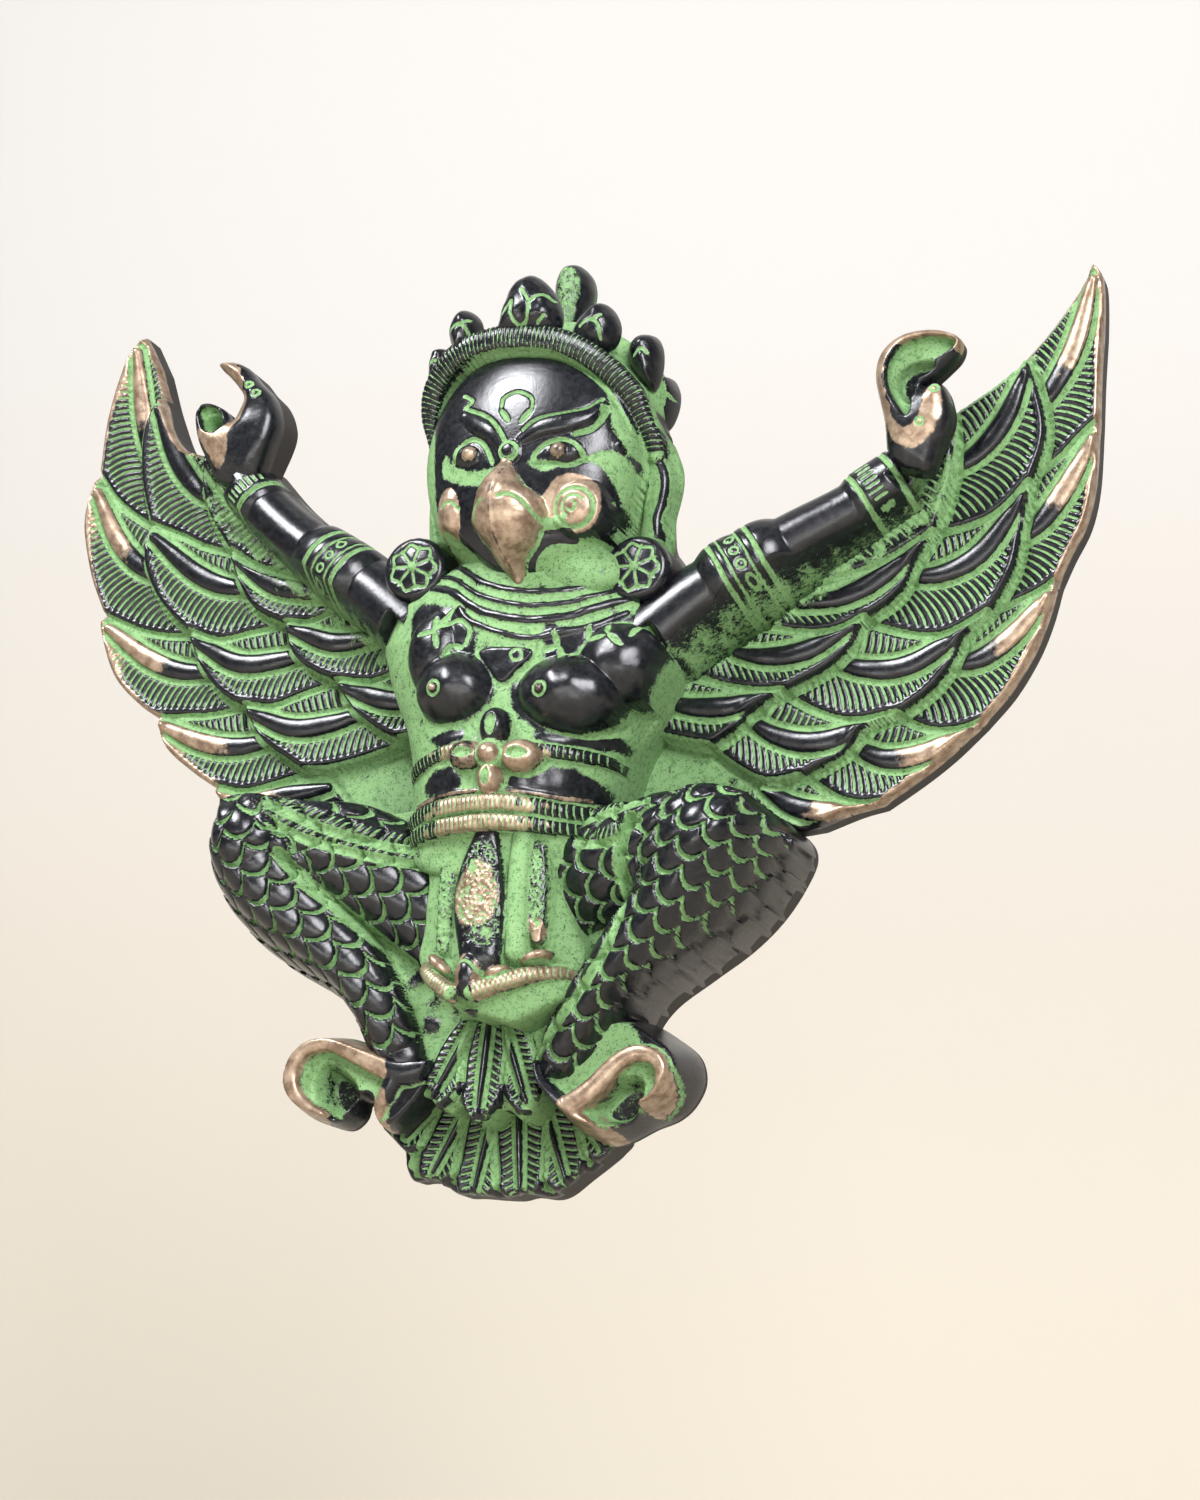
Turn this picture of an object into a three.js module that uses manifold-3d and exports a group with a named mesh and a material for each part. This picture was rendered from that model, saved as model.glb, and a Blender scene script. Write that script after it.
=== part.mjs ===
// Garuda wall plaque: a man-bird cast in one piece of brass, with raised arms, spread wings,
// folded legs and a fan tail. The back lies flat on the wall, with a hollow behind the deep parts.
//
// The relief is drawn looking at the wall: x to the right, y up, and z out of the wall.
// The belt buckle is at x 0, y 0. The outlines are drawn for a span of 220 mm and a depth
// of 46 mm, and follow the two driving sizes below.

import * as THREE from 'three';
import { mergeVertices } from 'three/addons/utils/BufferGeometryUtils.js';
import Module from 'manifold-3d';

const wasm = await Module();
wasm.setup();

// Driving sizes, in millimetres
const span = 220;              // from wing tip to wing tip
const reliefDepth = 46;        // from the wall to the front of the beak
const rimThickness = 6.5;      // wing, where it ends
const wall = 4.5;              // metal left over the hollow of the back
const hangHeight = 37.5;       // from the buckle up to the hanging face behind the neck

// The sizes that the outlines are drawn for
const drawnSpan = 220;
const drawnDepth = 46;
const wide = span / drawnSpan;
const deep = reliefDepth / drawnDepth;

// Carving, as shares of the size that it is drawn in
const groove = 0.9;            // half the width of the groove between two feathers
const featherRise = 1.3;       // how far a feather stands over the groove beside it
const quillRise = 0.7;         // how far its quill stands over its edges
const overlap = 0.15;          // neighbours and rows run this far into each other
const rowRise = 2.6;           // how far each row of feathers lies over the next one out
const behind = 2;              // solids start this far behind the wall and are cut off at it
const headFoot = 0.62;         // the head's outline at the wall, as a share of its full outline
const headMiddle = 62;         // the height that the head draws in towards

// A closed three.js geometry as a solid that can be joined and cut.
function solid(geometry) {
  const bare = geometry.clone();
  bare.deleteAttribute('normal');
  bare.deleteAttribute('uv');
  const merged = mergeVertices(bare, 1e-4);
  const mesh = new wasm.Mesh({
    numProp: 3,
    vertProperties: new Float32Array(merged.attributes.position.array),
    triVerts: new Uint32Array(merged.index.array),
  });
  return new wasm.Manifold(mesh);
}

function join(solids) {
  return solids.reduce((whole, next) => whole.add(next));
}

// The head stands free of the wall: behind its face it draws in towards its middle.
function drawIn(point) {
  const above = THREE.MathUtils.smoothstep(point.y, 42, 52);
  const beside = 1 - THREE.MathUtils.smoothstep(Math.abs(point.x), 32, 42);
  const depth = 1 - THREE.MathUtils.smoothstep(point.z, 0, 12);
  const share = 1 - (1 - headFoot) * above * beside * depth;
  point.x *= share;
  point.y = headMiddle + (point.y - headMiddle) * share;
}

// Drawn place to real place.
function reshape(geometry, move = (point) => point) {
  const place = geometry.attributes.position;
  const point = new THREE.Vector3();
  for (let i = 0; i < place.count; i += 1) {
    move(point.fromBufferAttribute(place, i));
    drawIn(point);
    place.setXYZ(i, point.x * wide, point.y * wide, point.z * deep);
  }
  return geometry;
}

// A flat piece with upright sides. Its front edge is sloped off by bevel all round.
function plate(outline, front, { bevel = 0, back = -behind } = {}) {
  const shape = new THREE.Shape(outline.map(([x, y]) => new THREE.Vector2(x, y)));
  const geometry = new THREE.ExtrudeGeometry(shape, {
    depth: front - back - 2 * bevel,
    steps: 1,
    bevelEnabled: bevel > 0,
    bevelThickness: bevel,
    bevelSize: bevel,
    bevelOffset: -bevel,
    bevelSegments: 1,
  });
  return solid(reshape(geometry, (point) => {
    point.z += back + bevel;
  }));
}

// A feather: its quill stands highest and its edges slope off, so that two
// neighbours leave a groove between them. Each corner is [x, y, front, point of the quill
// that it belongs to], and each point of the quill is [x, y, front].
function feather(corners, quill) {
  const clockwise = THREE.ShapeUtils.isClockWise(corners.map(([x, y]) => new THREE.Vector2(x, y)));
  const ring = clockwise ? [...corners].reverse() : corners;
  const places = [];
  const layer = (inward, level) => {
    for (const [x, y, front, belongs] of ring) {
      const place = new THREE.Vector3(x, y, front);
      const towards = new THREE.Vector3(...quill[belongs]).sub(place);
      place.addScaledVector(towards, Math.min(inward / towards.length(), 0.4));
      places.push(place.x, place.y, level(place.z));
    }
    return places.length / 3 - ring.length;
  };
  const spine = (level) => {
    quill.forEach(([x, y, front]) => places.push(x, y, level(front)));
    return places.length / 3 - quill.length;
  };
  const back = layer(-overlap, () => -behind);
  const side = layer(-overlap, (front) => front - featherRise);
  const face = layer(groove, (front) => front);
  const backSpine = spine(() => -behind);
  const faceSpine = spine((front) => front + quillRise);
  const faces = [];
  ring.forEach(([, , , here], i) => {
    const j = (i + 1) % ring.length;
    const there = ring[j][3];
    for (const [low, high] of [[back, side], [side, face]]) {
      faces.push(low + i, low + j, high + j, low + i, high + j, high + i);
    }
    faces.push(face + i, face + j, faceSpine + here, back + j, back + i, backSpine + here);
    if (here !== there) {
      faces.push(face + j, faceSpine + there, faceSpine + here);
      faces.push(backSpine + there, back + j, backSpine + here);
    }
  });
  const geometry = new THREE.BufferGeometry();
  geometry.setAttribute('position', new THREE.Float32BufferAttribute(places, 3));
  geometry.setIndex(faces);
  return solid(reshape(geometry));
}

// A low dome: an ellipse in plan, turned about its middle. foot is its width at the back as
// a share of its full width.
function dome(form, { inset = 0, sectors = 12, rings = 2 } = {}) {
  const { at, size, side, front, turn = 0, back = -behind, foot = 1 } = form;
  const shoulder = Math.max(side - inset, 0);
  const profile = [new THREE.Vector2(0, back), new THREE.Vector2(foot, back)];
  for (let i = 0; i <= rings; i += 1) {
    const angle = (i / rings) * (Math.PI / 2);
    const reach = i === rings ? 0 : Math.cos(angle);
    profile.push(new THREE.Vector2(reach, shoulder + (front - inset - shoulder) * Math.sin(angle)));
  }
  const geometry = new THREE.LatheGeometry(profile, sectors);
  const cos = Math.cos(turn);
  const sin = Math.sin(turn);
  return solid(reshape(geometry, (point) => {
    const across = point.x * (size[0] - inset / wide);
    const along = -point.z * (size[1] - inset / wide);
    point.set(at[0] + across * cos - along * sin, at[1] + across * sin + along * cos, point.y);
  }));
}

// A long form laid on the wall along a route, with a round front. Each station is [x, y,
// half the width, front]. sides is how far its edges lie behind its front as a share of its
// half width, and foot is its width at the back as a share. Every second part of it stands
// forward by ribs.
function ridge(stations, shape = {}) {
  const { parts = stations.length * 2, sides = 1, sectors = 8, back = -behind, foot = 1, ribs = 0 } = shape;
  const curve = (points) => new THREE.CatmullRomCurve3(points, false, 'centripetal');
  const route = curve(stations.map(([x, y]) => new THREE.Vector3(x, y, 0)));
  const sizes = curve(stations.map(([, , half, front]) => new THREE.Vector3(half, front, 0)));
  const geometry = new THREE.CylinderGeometry(1, 1, 1, sectors, parts - 1);
  return solid(reshape(geometry, (point) => {
    const t = THREE.MathUtils.clamp(point.y + 0.5, 0, 1);
    const centre = route.getPoint(t);
    const heading = route.getTangent(t);
    const { x: half, y: front } = sizes.getPoint(t);
    const low = front - half * sides;
    const raised = (Math.round(t * (parts - 1)) % 2) * ribs;
    const isFront = point.z > -1e-6;
    const across = isFront ? point.x * half : THREE.MathUtils.clamp(point.x * 1.3, -1, 1) * half * foot;
    const height = isFront ? low + raised + (front - low) * point.z : back;
    point.set(centre.x + heading.y * across, centre.y - heading.x * across, height);
  }));
}

const mirrored = (points, side) => points.map(([x, y, ...rest]) => [side * x, y, ...rest]);

// Points evenly spaced along a line of straight stretches.
function along(points, count) {
  const route = new THREE.CurvePath();
  for (let i = 1; i < points.length; i += 1) {
    route.add(new THREE.LineCurve(new THREE.Vector2(...points[i - 1]), new THREE.Vector2(...points[i])));
  }
  return Array.from({ length: count }, (_, i) => route.getPoint(i / (count - 1)).toArray());
}

// The wings
// A row of feathers is given by the cuts between its feathers, each from root to tip, and
// by the free edge between one cut's tip and the next one's. x is taken outwards.

const rightWing = {
  lead: [[27, 30], [33, 40], [60, 60], [78.5, 75], [84, 79], [88, 82.5]],
  primaries: {
    cuts: [
      [[88, 82.5], [95.5, 90.5], [101.5, 99], [105.5, 107]],
      [[93, 60], [100.5, 66], [104.5, 70.5], [108, 73.5]],
      [[86, 34], [93.5, 37], [97.5, 39], [101.5, 41.5]],
      [[70, 15.5], [78, 12], [84, 12], [88.5, 13.5]],
      [[52, 4.5], [59, -0.5], [64, -2.5], [70, -2.5]],
      [[38, -3], [45, -6.5], [51, -8], [58, -7]],
    ],
    edges: [
      [[107.2, 94.5], [107.7, 84]],
      [[107.7, 61.5], [106.4, 53.5], [103.6, 47]],
      [[100, 34.5], [97.6, 27.5], [93.6, 20]],
      [[82.7, 7.5], [76.8, 2.5]],
      [[65, -4]],
    ],
  },
  secondaries: {
    cuts: [
      [[76, 73], [84, 78], [89.5, 82], [93.5, 86]],
      [[76, 50], [85, 52], [90.5, 55], [95.5, 60.5]],
      [[63, 33.5], [72.5, 30.5], [80.5, 30], [89, 34.5]],
      [[48, 19.5], [56, 15], [63.5, 13], [72.5, 14.5]],
      [[34, 8.5], [41.5, 3.5], [47.5, 1], [54, 2]],
    ],
    edges: [
      [[96.3, 76], [97.1, 69]],
      [[93.7, 51], [92.4, 43]],
      [[84.2, 30.2], [81.7, 24.7], [77.7, 19.2]],
      [[65.8, 12.5], [62.4, 7.7]],
    ],
  },
  coverts: {
    cuts: [
      [[58, 56], [68, 66], [74, 70], [80, 74]],
      [[56, 40], [66, 43], [72, 46], [78, 50]],
      [[46, 31], [54, 30], [60, 30.5], [65.5, 33]],
      [[32, 21], [38, 19.5], [44, 18.5], [50, 18.5]],
      [[18, 12], [24, 10], [30, 8.5], [36, 7.5]],
    ],
    edges: [
      [[80, 62.5]],
      [[74, 44.5], [71.3, 38.3]],
      [[60.3, 25.4]],
      [[44, 15], [40, 11]],
    ],
  },
};

const leftWing = {
  lead: [[27, 30], [36, 36], [47, 46.5], [58, 55], [70, 65], [79.5, 71.4], [88.5, 73.5]],
  primaries: {
    cuts: [
      [[91.5, 77], [94, 82.5], [98.5, 93.5], [103, 101]],
      [[93, 55.5], [101, 60], [106, 64], [110, 69]],
      [[79, 32], [89.5, 32.5], [96.5, 34], [104, 37]],
      [[64, 17.5], [75, 15], [82, 14.5], [88, 14.5]],
      [[49, 3.5], [59.5, 0], [66, -1.5], [72.5, -0.5]],
      [[42, -4], [50, -4], [58, -5.5], [66, -8]],
    ],
    edges: [
      [[106.5, 96], [109.5, 83]],
      [[112, 62.5], [111.8, 56.5], [108.5, 46]],
      [[104, 33.5], [99.5, 23.5], [93, 17.5]],
      [[85, 8], [78.5, 3]],
      [[69.5, -5]],
    ],
  },
  secondaries: {
    cuts: [
      [[83, 71], [87, 75], [91.5, 80], [95.5, 86]],
      [[71, 49], [80, 51], [86, 53.5], [94, 56.5]],
      [[56, 34.5], [67, 32], [74.5, 30.5], [81.5, 32.5]],
      [[44, 22], [53.5, 18.5], [60, 16], [66.5, 16.5]],
      [[28, 9], [38.5, 5], [46, 3], [51, 2.7]],
    ],
    edges: [
      [[97.6, 78], [96.7, 67]],
      [[93.4, 48.7], [88.6, 39.7]],
      [[77, 25.3], [71.7, 19.8]],
      [[61.2, 10], [55, 6]],
    ],
  },
  coverts: {
    cuts: [
      [[66, 62], [72, 68], [77, 70.2], [81.5, 71.8]],
      [[52, 42], [60, 44], [67, 46], [73, 49.5]],
      [[40, 36], [47.5, 35.5], [52, 33.5], [58, 33.5]],
      [[28, 24.5], [33, 22], [38, 20.5], [45, 21]],
      [[16, 12], [20, 10.5], [25, 9.5], [29.5, 8.8]],
    ],
    edges: [
      [[79.2, 60.7]],
      [[69.1, 42.8], [65, 37.3]],
      [[53.8, 26.4]],
      [[40, 15.7], [34, 11.5]],
    ],
  },
};

// A feather's quill runs midway between its upper and its lower cut, and it rises to its tip.
function featherBetween(upper, edge, lower, front, side) {
  const last = upper.length - 1;
  const height = (i) => front + featherRise * (i / last - 1);
  const corners = [
    ...upper.map(([x, y], i) => [x, y, height(i), i]),
    ...edge.map(([x, y]) => [x, y, front, last]),
    ...lower.map(([x, y], i) => [x, y, height(i), i]).reverse(),
  ];
  const middleOfEdge = along([upper[last], ...edge, lower[last]], 3)[1];
  const quill = upper.map(([x, y], i) => [(x + lower[i][0]) / 2, (y + lower[i][1]) / 2, height(i)]);
  for (const axis of [0, 1]) {
    quill[0][axis] = THREE.MathUtils.lerp(quill[0][axis], quill[1][axis], 0.15);
    quill[last][axis] = THREE.MathUtils.lerp(quill[last - 1][axis], middleOfEdge[axis], 0.85);
  }
  return feather(mirrored(corners, side), mirrored(quill, side));
}

function featherRow({ cuts, edges }, front, side) {
  return edges.map((edge, i) => featherBetween(cuts[i], edge, cuts[i + 1], front, side));
}

function wing(plan, side) {
  const { primaries, secondaries, coverts } = plan;
  const rim = rimThickness / deep;
  const tips = primaries.cuts.map((cut) => cut[cut.length - 1]);
  const free = primaries.edges.flatMap((edge, i) => [tips[i], ...edge]);
  const bottom = [...primaries.cuts[5]].reverse();
  const ground = [...plan.lead, ...primaries.cuts[0].slice(1, 3), ...free, ...bottom, [14, -6], [14, 30]];
  return [
    plate(mirrored(ground, side), rim - groove),
    ...featherRow(primaries, rim + featherRise, side),
    ...featherRow(secondaries, rim + featherRise + rowRise, side),
    ...featherRow(coverts, rim + featherRise + 2 * rowRise, side),
  ];
}

// The body

const chest = { at: [0, 19], size: [26, 17], side: 17, front: 33 };
const belly = { at: [0, -3], size: [21.5, 15], side: 19, front: 36 };
const neck = { at: [0, 34], size: [15, 9], side: 20, front: 31 };
const skull = { at: [0, 59], size: [22.5, 22], side: 23, front: 38 };

const small = { sectors: 6, rings: 1 };

function torso() {
  const parts = [dome(chest), dome(belly), dome(neck, { sectors: 8 })];
  for (const side of [-1, 1]) {
    const breast = { at: [side * 12.5, 12], size: [9.4, 8.6], side: 28, front: 38.5, back: 10 };
    const nipple = { at: [side * 11.5, 11], size: [1.7, 1.7], side: 38, front: 39.8, back: 30 };
    parts.push(dome(breast, { rings: 3 }), dome(nipple, small));
    const shoulder = [[side * 3, 22, 7, 34], [side * 16, 22.5, 9, 32.5], [side * 27, 27, 8.5, 27]];
    parts.push(ridge(shoulder, { parts: 3, back: 10 }));
  }
  return parts;
}

// A band that runs round the front of the belly, with upright ribs.
function band(y, half, drop, ribCount) {
  const front = belly.front + 1.2;
  const reach = 19.5;
  const stations = [-1, -0.5, 0, 0.5, 1].map((t) => [t * reach, y, half, front - drop * t * t]);
  return [ridge(stations, { parts: 2 * ribCount + 1, sides: 0.5, sectors: 6, back: 14, ribs: 0.9 })];
}

// The buckle is a four-petalled flower.
function buckle() {
  const petals = 4;
  const flower = Array.from({ length: 4 * petals }, (_, i) => {
    const turn = (i / (2 * petals)) * Math.PI;
    const reach = [7, 5, 2.6, 5][i % 4];
    return [reach * Math.sin(turn), reach * Math.cos(turn)];
  });
  return [
    plate(flower, 39.5, { back: 30 }),
    dome({ at: [0, 0], size: [2.2, 2.2], side: 39.5, front: 41.3, back: 30 }, small),
  ];
}

function loincloth() {
  const cloth = [[0, -12, 13, 34], [0, -24, 13.5, 33], [0, -36, 14.5, 35], [0, -46, 5, 35]];
  const fold = [[-1, -16, 3, 36.5], [-1, -30, 3.4, 36.5], [0, -44, 3, 37.5]];
  const hem = [[-15.5, -36.5, 2, 23], [-8, -41.5, 2, 32], [0, -46, 2.2, 37], [8, -41.5, 2, 32],
    [15.5, -36.5, 2, 23]];
  return [
    ridge(cloth, { sides: 0.9, parts: 6 }),
    ridge(fold, { parts: 3, sides: 0.8, sectors: 6, back: 20 }),
    ridge(hem, { parts: 6, sides: 0.5, sectors: 6, back: 14 }),
  ];
}

// The head

function beak() {
  const upper = [[0, 58, 3, 40], [0, 53, 5.5, 43.5], [0, 47, 7.6, 45.8], [0, 41, 5.6, 42], [0, 33, 0.8, 31]];
  const jaw = [[2, 43, 9, 33], [0, 37, 8, 32], [0, 31, 9, 30]];
  return [ridge(upper, { parts: 6 }), ridge(jaw, { parts: 3, sides: 0.8 })];
}

function face(side) {
  const eye = [side * 9.7, 59];
  const cheek = [side * 14.5, 48.5];
  const brow = [[1.6, 61, 1.6, 40], [7, 65.5, 2.2, 40], [13, 68.5, 2, 38.5], [17, 71, 1, 36]];
  return [
    dome({ at: eye, size: [4, 2.7], side: 36.5, front: 39, turn: side * 0.25, back: 20 }, { sectors: 8 }),
    dome({ at: eye, size: [1.6, 1.6], side: 38.2, front: 40, back: 30 }, small),
    dome({ at: cheek, size: [4.6, 4.6], side: 35.4, front: 37.4, back: 20 }, { sectors: 8, rings: 1 }),
    ridge(mirrored(brow, side), { parts: 4, sectors: 4, back: 25 }),
  ];
}

function foreheadMarks() {
  const shield = [[-2.6, 69], [0, 71], [2.6, 69], [0, 64.5]];
  return [
    plate(shield, 40, { back: 30 }),
    dome({ at: [0, 60], size: [1.8, 1.8], side: 39.5, front: 41.2, back: 30 }, small),
  ];
}

// Place on the front of the crown's hoop, from its left end to its right end.
function hoop(t) {
  const angle = t * 1.75;
  return { x: 23 * Math.sin(angle), y: 62 + 18.5 * Math.cos(angle), front: 38 - 15 * t * t };
}

function crown() {
  const halfBand = 2.8;
  const ribCount = 10;
  const stations = [-1, -0.65, -0.3, 0, 0.3, 0.65, 1].map((t) => {
    const { x, y, front } = hoop(t);
    return [x, y, halfBand, front + 1.4];
  });
  return [
    dome({ at: [0, 71], size: [21, 18], side: 20, front: 32 }),
    ridge([[0, 84, 10, 30], [0, 92, 9, 26], [0, 100, 6, 17]], { parts: 3 }),
    ridge(stations, { parts: 2 * ribCount + 1, sides: 0.6, sectors: 6, back: 12, ribs: 0.9 }),
  ];
}

// The leaves of the crown: the middle one, three down each side, and a knob behind.
function crownLeaves() {
  const middle = { at: [0, 90.5], size: [6.6, 7], side: 33, front: 40.5, back: 18 };
  const knob = { at: [0, 103.8], size: [4.4, 5], side: 12, front: 18, back: 4 };
  const sideLeaves = [
    { at: [14, 86], size: [4.8, 5.8], side: 31, front: 38, turn: -0.3, back: 18 },
    { at: [21, 80.5], size: [4.4, 5.8], side: 24, front: 31, turn: -0.5, back: 14 },
    { at: [23.5, 74], size: [2.8, 6.4], side: 17, front: 23, turn: -0.1, back: 11 },
  ];
  const parts = [dome(middle), dome(knob, { sectors: 10 })];
  for (const side of [-1, 1]) {
    for (const leaf of sideLeaves) {
      const placed = { ...leaf, at: [side * leaf.at[0], leaf.at[1]], turn: side * leaf.turn };
      parts.push(dome(placed, { sectors: 8 }));
    }
  }
  return parts;
}

function sideOrnament(side) {
  const flap = [[18, 76, 4.5, 24], [20.5, 66, 4.8, 23], [20.6, 55, 4.8, 18], [18.5, 43, 4.2, 17]];
  const strap = [[21.5, 71, 1.6, 23], [22.8, 62, 1.6, 20], [22, 51, 1.6, 19]];
  return [
    ridge(mirrored(flap, side), { parts: 4, sides: 0.8, sectors: 6 }),
    ridge(mirrored(strap, side), { parts: 3, sectors: 4, back: 10 }),
  ];
}

// A round ear disc with a flower on its face.
function earring(side) {
  const at = [side * 23.4, 38.5];
  const radius = 6.4;
  const face = 28;
  const petals = 8;
  const flower = Array.from({ length: 2 * petals }, (_, i) => {
    const turn = (i / petals) * Math.PI;
    const reach = i % 2 === 0 ? 5 : 2.9;
    return [at[0] + reach * Math.cos(turn), at[1] + reach * Math.sin(turn)];
  });
  return [
    dome({ at, size: [radius, radius], side: face - 1, front: face }, { sectors: 12, rings: 1 }),
    plate(flower, face + 0.8, { back: face - 3 }),
    dome({ at, size: [1.5, 1.5], side: face, front: face + 1.8, back: face - 3 }, small),
  ];
}

// The arms
// The casting isn't quite even: the left wrist is higher than the right one.

const wristLift = { 1: -2, [-1]: 2 };

function armPoint(side, reach) {
  const shoulder = [26, 26];
  const wrist = [71, 60 + wristLift[side]];
  return [0, 1].map((axis) => THREE.MathUtils.lerp(shoulder[axis], wrist[axis], reach));
}

function arm(side) {
  const station = (reach, half, front) => [...armPoint(side, reach), half, front];
  const limb = [station(0, 8, 27), station(0.3, 6.6, 25), station(0.6, 5.6, 23), station(1, 4.6, 21.5)];
  const upperBand = [station(0.27, 7.8, 27), station(0.42, 7.2, 26)];
  const cuff = [station(0.93, 6, 23.5), station(1.03, 6, 23.5)];
  const parts = [
    ridge(mirrored(limb, side), { parts: 4, foot: 0.75 }),
    ridge(mirrored(upperBand, side), { parts: 2, foot: 0.75 }),
    ridge(mirrored(cuff, side), { parts: 2, foot: 0.75 }),
  ];
  const beads = 3;
  const [x, y] = armPoint(side, 0.345);
  const half = 7.4;
  for (let i = 0; i < beads; i += 1) {
    const across = ((i + 0.5) / beads) * 2 - 1;
    const at = [side * (x - across * 0.6 * half), y + across * 0.8 * half];
    const front = 27.2 - half * (1 - Math.sqrt(1 - across ** 2));
    parts.push(dome({ at, size: [1.6, 1.6], side: front - 1, front, back: front - 5 }, small));
  }
  return parts;
}

// Each hand is a hook of curled fingers that meets the thumb, with a hollow palm.
function rightHand() {
  const fist = [[66, 61], [69, 66], [68, 72], [67.2, 78], [68.3, 82.5], [71, 85.8], [75, 87.3], [79, 87],
    [82, 85.8], [84, 84], [82.2, 80.5], [80, 78.3], [81.8, 76], [83, 72], [82.5, 67], [78, 60]];
  const palm = [[71.8, 71], [70, 76], [70.6, 81], [73, 84], [77, 85], [81.6, 83.8], [79, 79.5],
    [75.5, 77.5], [75, 71]];
  return [plate(fist, 24, { bevel: 0.8, back: 9 }).subtract(plate(palm, 30, { back: 16 }))];
}

function leftHand() {
  const hook = [[-66, 64], [-67.5, 69], [-66.5, 76], [-66.8, 82], [-69, 86.2], [-72, 88], [-75.8, 88],
    [-72.5, 85.6], [-70.2, 82.5], [-69.6, 79], [-71.5, 75.5], [-73.2, 76.6], [-75.4, 79],
    [-78.2, 78.6], [-79, 75], [-77, 69], [-74, 62]];
  const palm = [[-71, 68], [-69.6, 71.5], [-71.3, 73.8], [-73.4, 75], [-75.6, 77], [-77, 75], [-74.5, 69]];
  return [plate(hook, 24, { bevel: 0.7, back: 7 }).subtract(plate(palm, 30, { back: 17 }))];
}

// The legs
// They sit a little to the left of the body's middle, and aren't quite alike.

const legShift = -3.5;
const knee = { at: [46.5, -20], size: [13, 13], side: 21, front: 35, foot: 0.75 };
const placed = (points, side) => points.map(([x, y, ...rest]) => [side * x + legShift, y, ...rest]);
const kneeOn = (side) => ({ ...knee, at: [side * knee.at[0] + legShift, knee.at[1]] });

const thigh = [[46, -17, 10, 33], [28, -18.5, 10.5, 31], [18.5, -22.5, 13, 29], [10, -24, 14, 27]];
const rightShin = [[48, -18, 11, 35], [40.5, -31, 9.5, 33], [34.5, -37, 8.4, 31], [28.5, -43.5, 7.5, 28],
  [17, -54, 6.5, 25]];
const leftShin = [[-54, -18, 11, 35], [-44.2, -31, 9, 33], [-37.5, -35.5, 8.6, 31], [-28, -42, 8, 28],
  [-19.5, -53, 7, 25]];

// The rows of scales are bands across the thigh and the shin.
function leg(side) {
  return [
    dome(kneeOn(side)),
    ridge(placed(thigh, side), { parts: 7, foot: 0.8, ribs: 1 }),
    ridge(side > 0 ? rightShin : leftShin, { parts: 11, foot: 0.6, ribs: 1 }),
  ];
}

// The body's back plate fills the space between the thighs, down to the tail.
const lap = [[-44, -12], [-34, -34], [-20, -62], [14, -62], [30, -36], [38, -12]];

// Each foot is a hooked toe that curls over and down, and a heel claw, round a hollow.
function foot(side) {
  const toe = [[21.5, -66.5, 2.2, 20], [22, -61.5, 2.4, 21.5], [27.5, -58.5, 2.4, 21.5],
    [33.5, -55.5, 2.3, 21.5], [38.5, -57.5, 2.3, 21.5], [39.3, -62, 2.2, 21], [36.7, -66, 1.9, 20]];
  const talon = [[13.5, -56, 3.4, 22], [16.5, -62, 3.2, 21], [22, -67, 2.2, 20], [26.5, -68.6, 1, 18]];
  const floor = [[22.5, -66], [23.5, -60], [32.5, -57], [37.5, -58], [38.5, -63], [35.5, -68], [27.5, -64.5]];
  const ankle = { at: [side * 25.5 + legShift, -53.5], size: [9, 6], side: 14, front: 20 };
  return [
    ridge(placed(toe, side), { parts: 8, sides: 0.5, sectors: 6 }),
    ridge(placed(talon, side), { parts: 4, sides: 0.6, sectors: 6 }),
    plate(placed(floor, side), 12),
    dome(ankle, { sectors: 8, rings: 1 }),
  ];
}

// The tail: a fan of feathers, and three shorter ones laid over it.
function tail() {
  const spread = 1.15;
  const fan = (count, root, reach, half, front) => {
    const parts = [];
    for (let i = 0; i < count; i += 1) {
      const t = count === 1 ? 0 : (2 * i) / (count - 1) - 1;
      const angle = t * spread * (count / 6);
      const length = reach * (1 - 0.16 * t * t);
      const at = (share, across) => [
        Math.sin(angle) * length * share + Math.cos(angle) * across,
        root - Math.cos(angle) * length * share + Math.sin(angle) * across,
      ];
      const place = (share, across) => [...at(share, half * across), front + featherRise * (share - 1)];
      const edge = [[0.2, 0.4, 0], [0.75, 1, 1], [0.93, 0.75, 2]];
      const outline = [
        ...edge.map(([share, across, belongs]) => [...place(share, -across), belongs]),
        [...place(1, 0), 2],
        ...edge.reverse().map(([share, across, belongs]) => [...place(share, across), belongs]),
      ];
      parts.push(feather(outline, [place(0.25, 0), place(0.75, 0), place(0.94, 0)]));
    }
    return parts;
  };
  return [
    dome({ at: [0, -58], size: [19, 13], side: 9, front: 19 }),
    ...fan(6, -54, 28.5, 5, 9),
    ...fan(3, -44, 23, 3.8, 22),
  ];
}

// The hollow of the back follows the deep forms, a wall's thickness inside them.
function hollow() {
  const forms = [chest, belly, skull, kneeOn(-1), kneeOn(1)];
  return join(forms.map((form) => dome(form, { inset: wall / deep, sectors: 8 })));
}

// Everything in front of the wall.
function inFrontOfWall(whole) {
  const box = new THREE.BoxGeometry(3 * span, 3 * span, 3 * reliefDepth);
  box.translate(0, 0, 1.5 * reliefDepth);
  return whole.intersect(solid(box));
}

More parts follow.
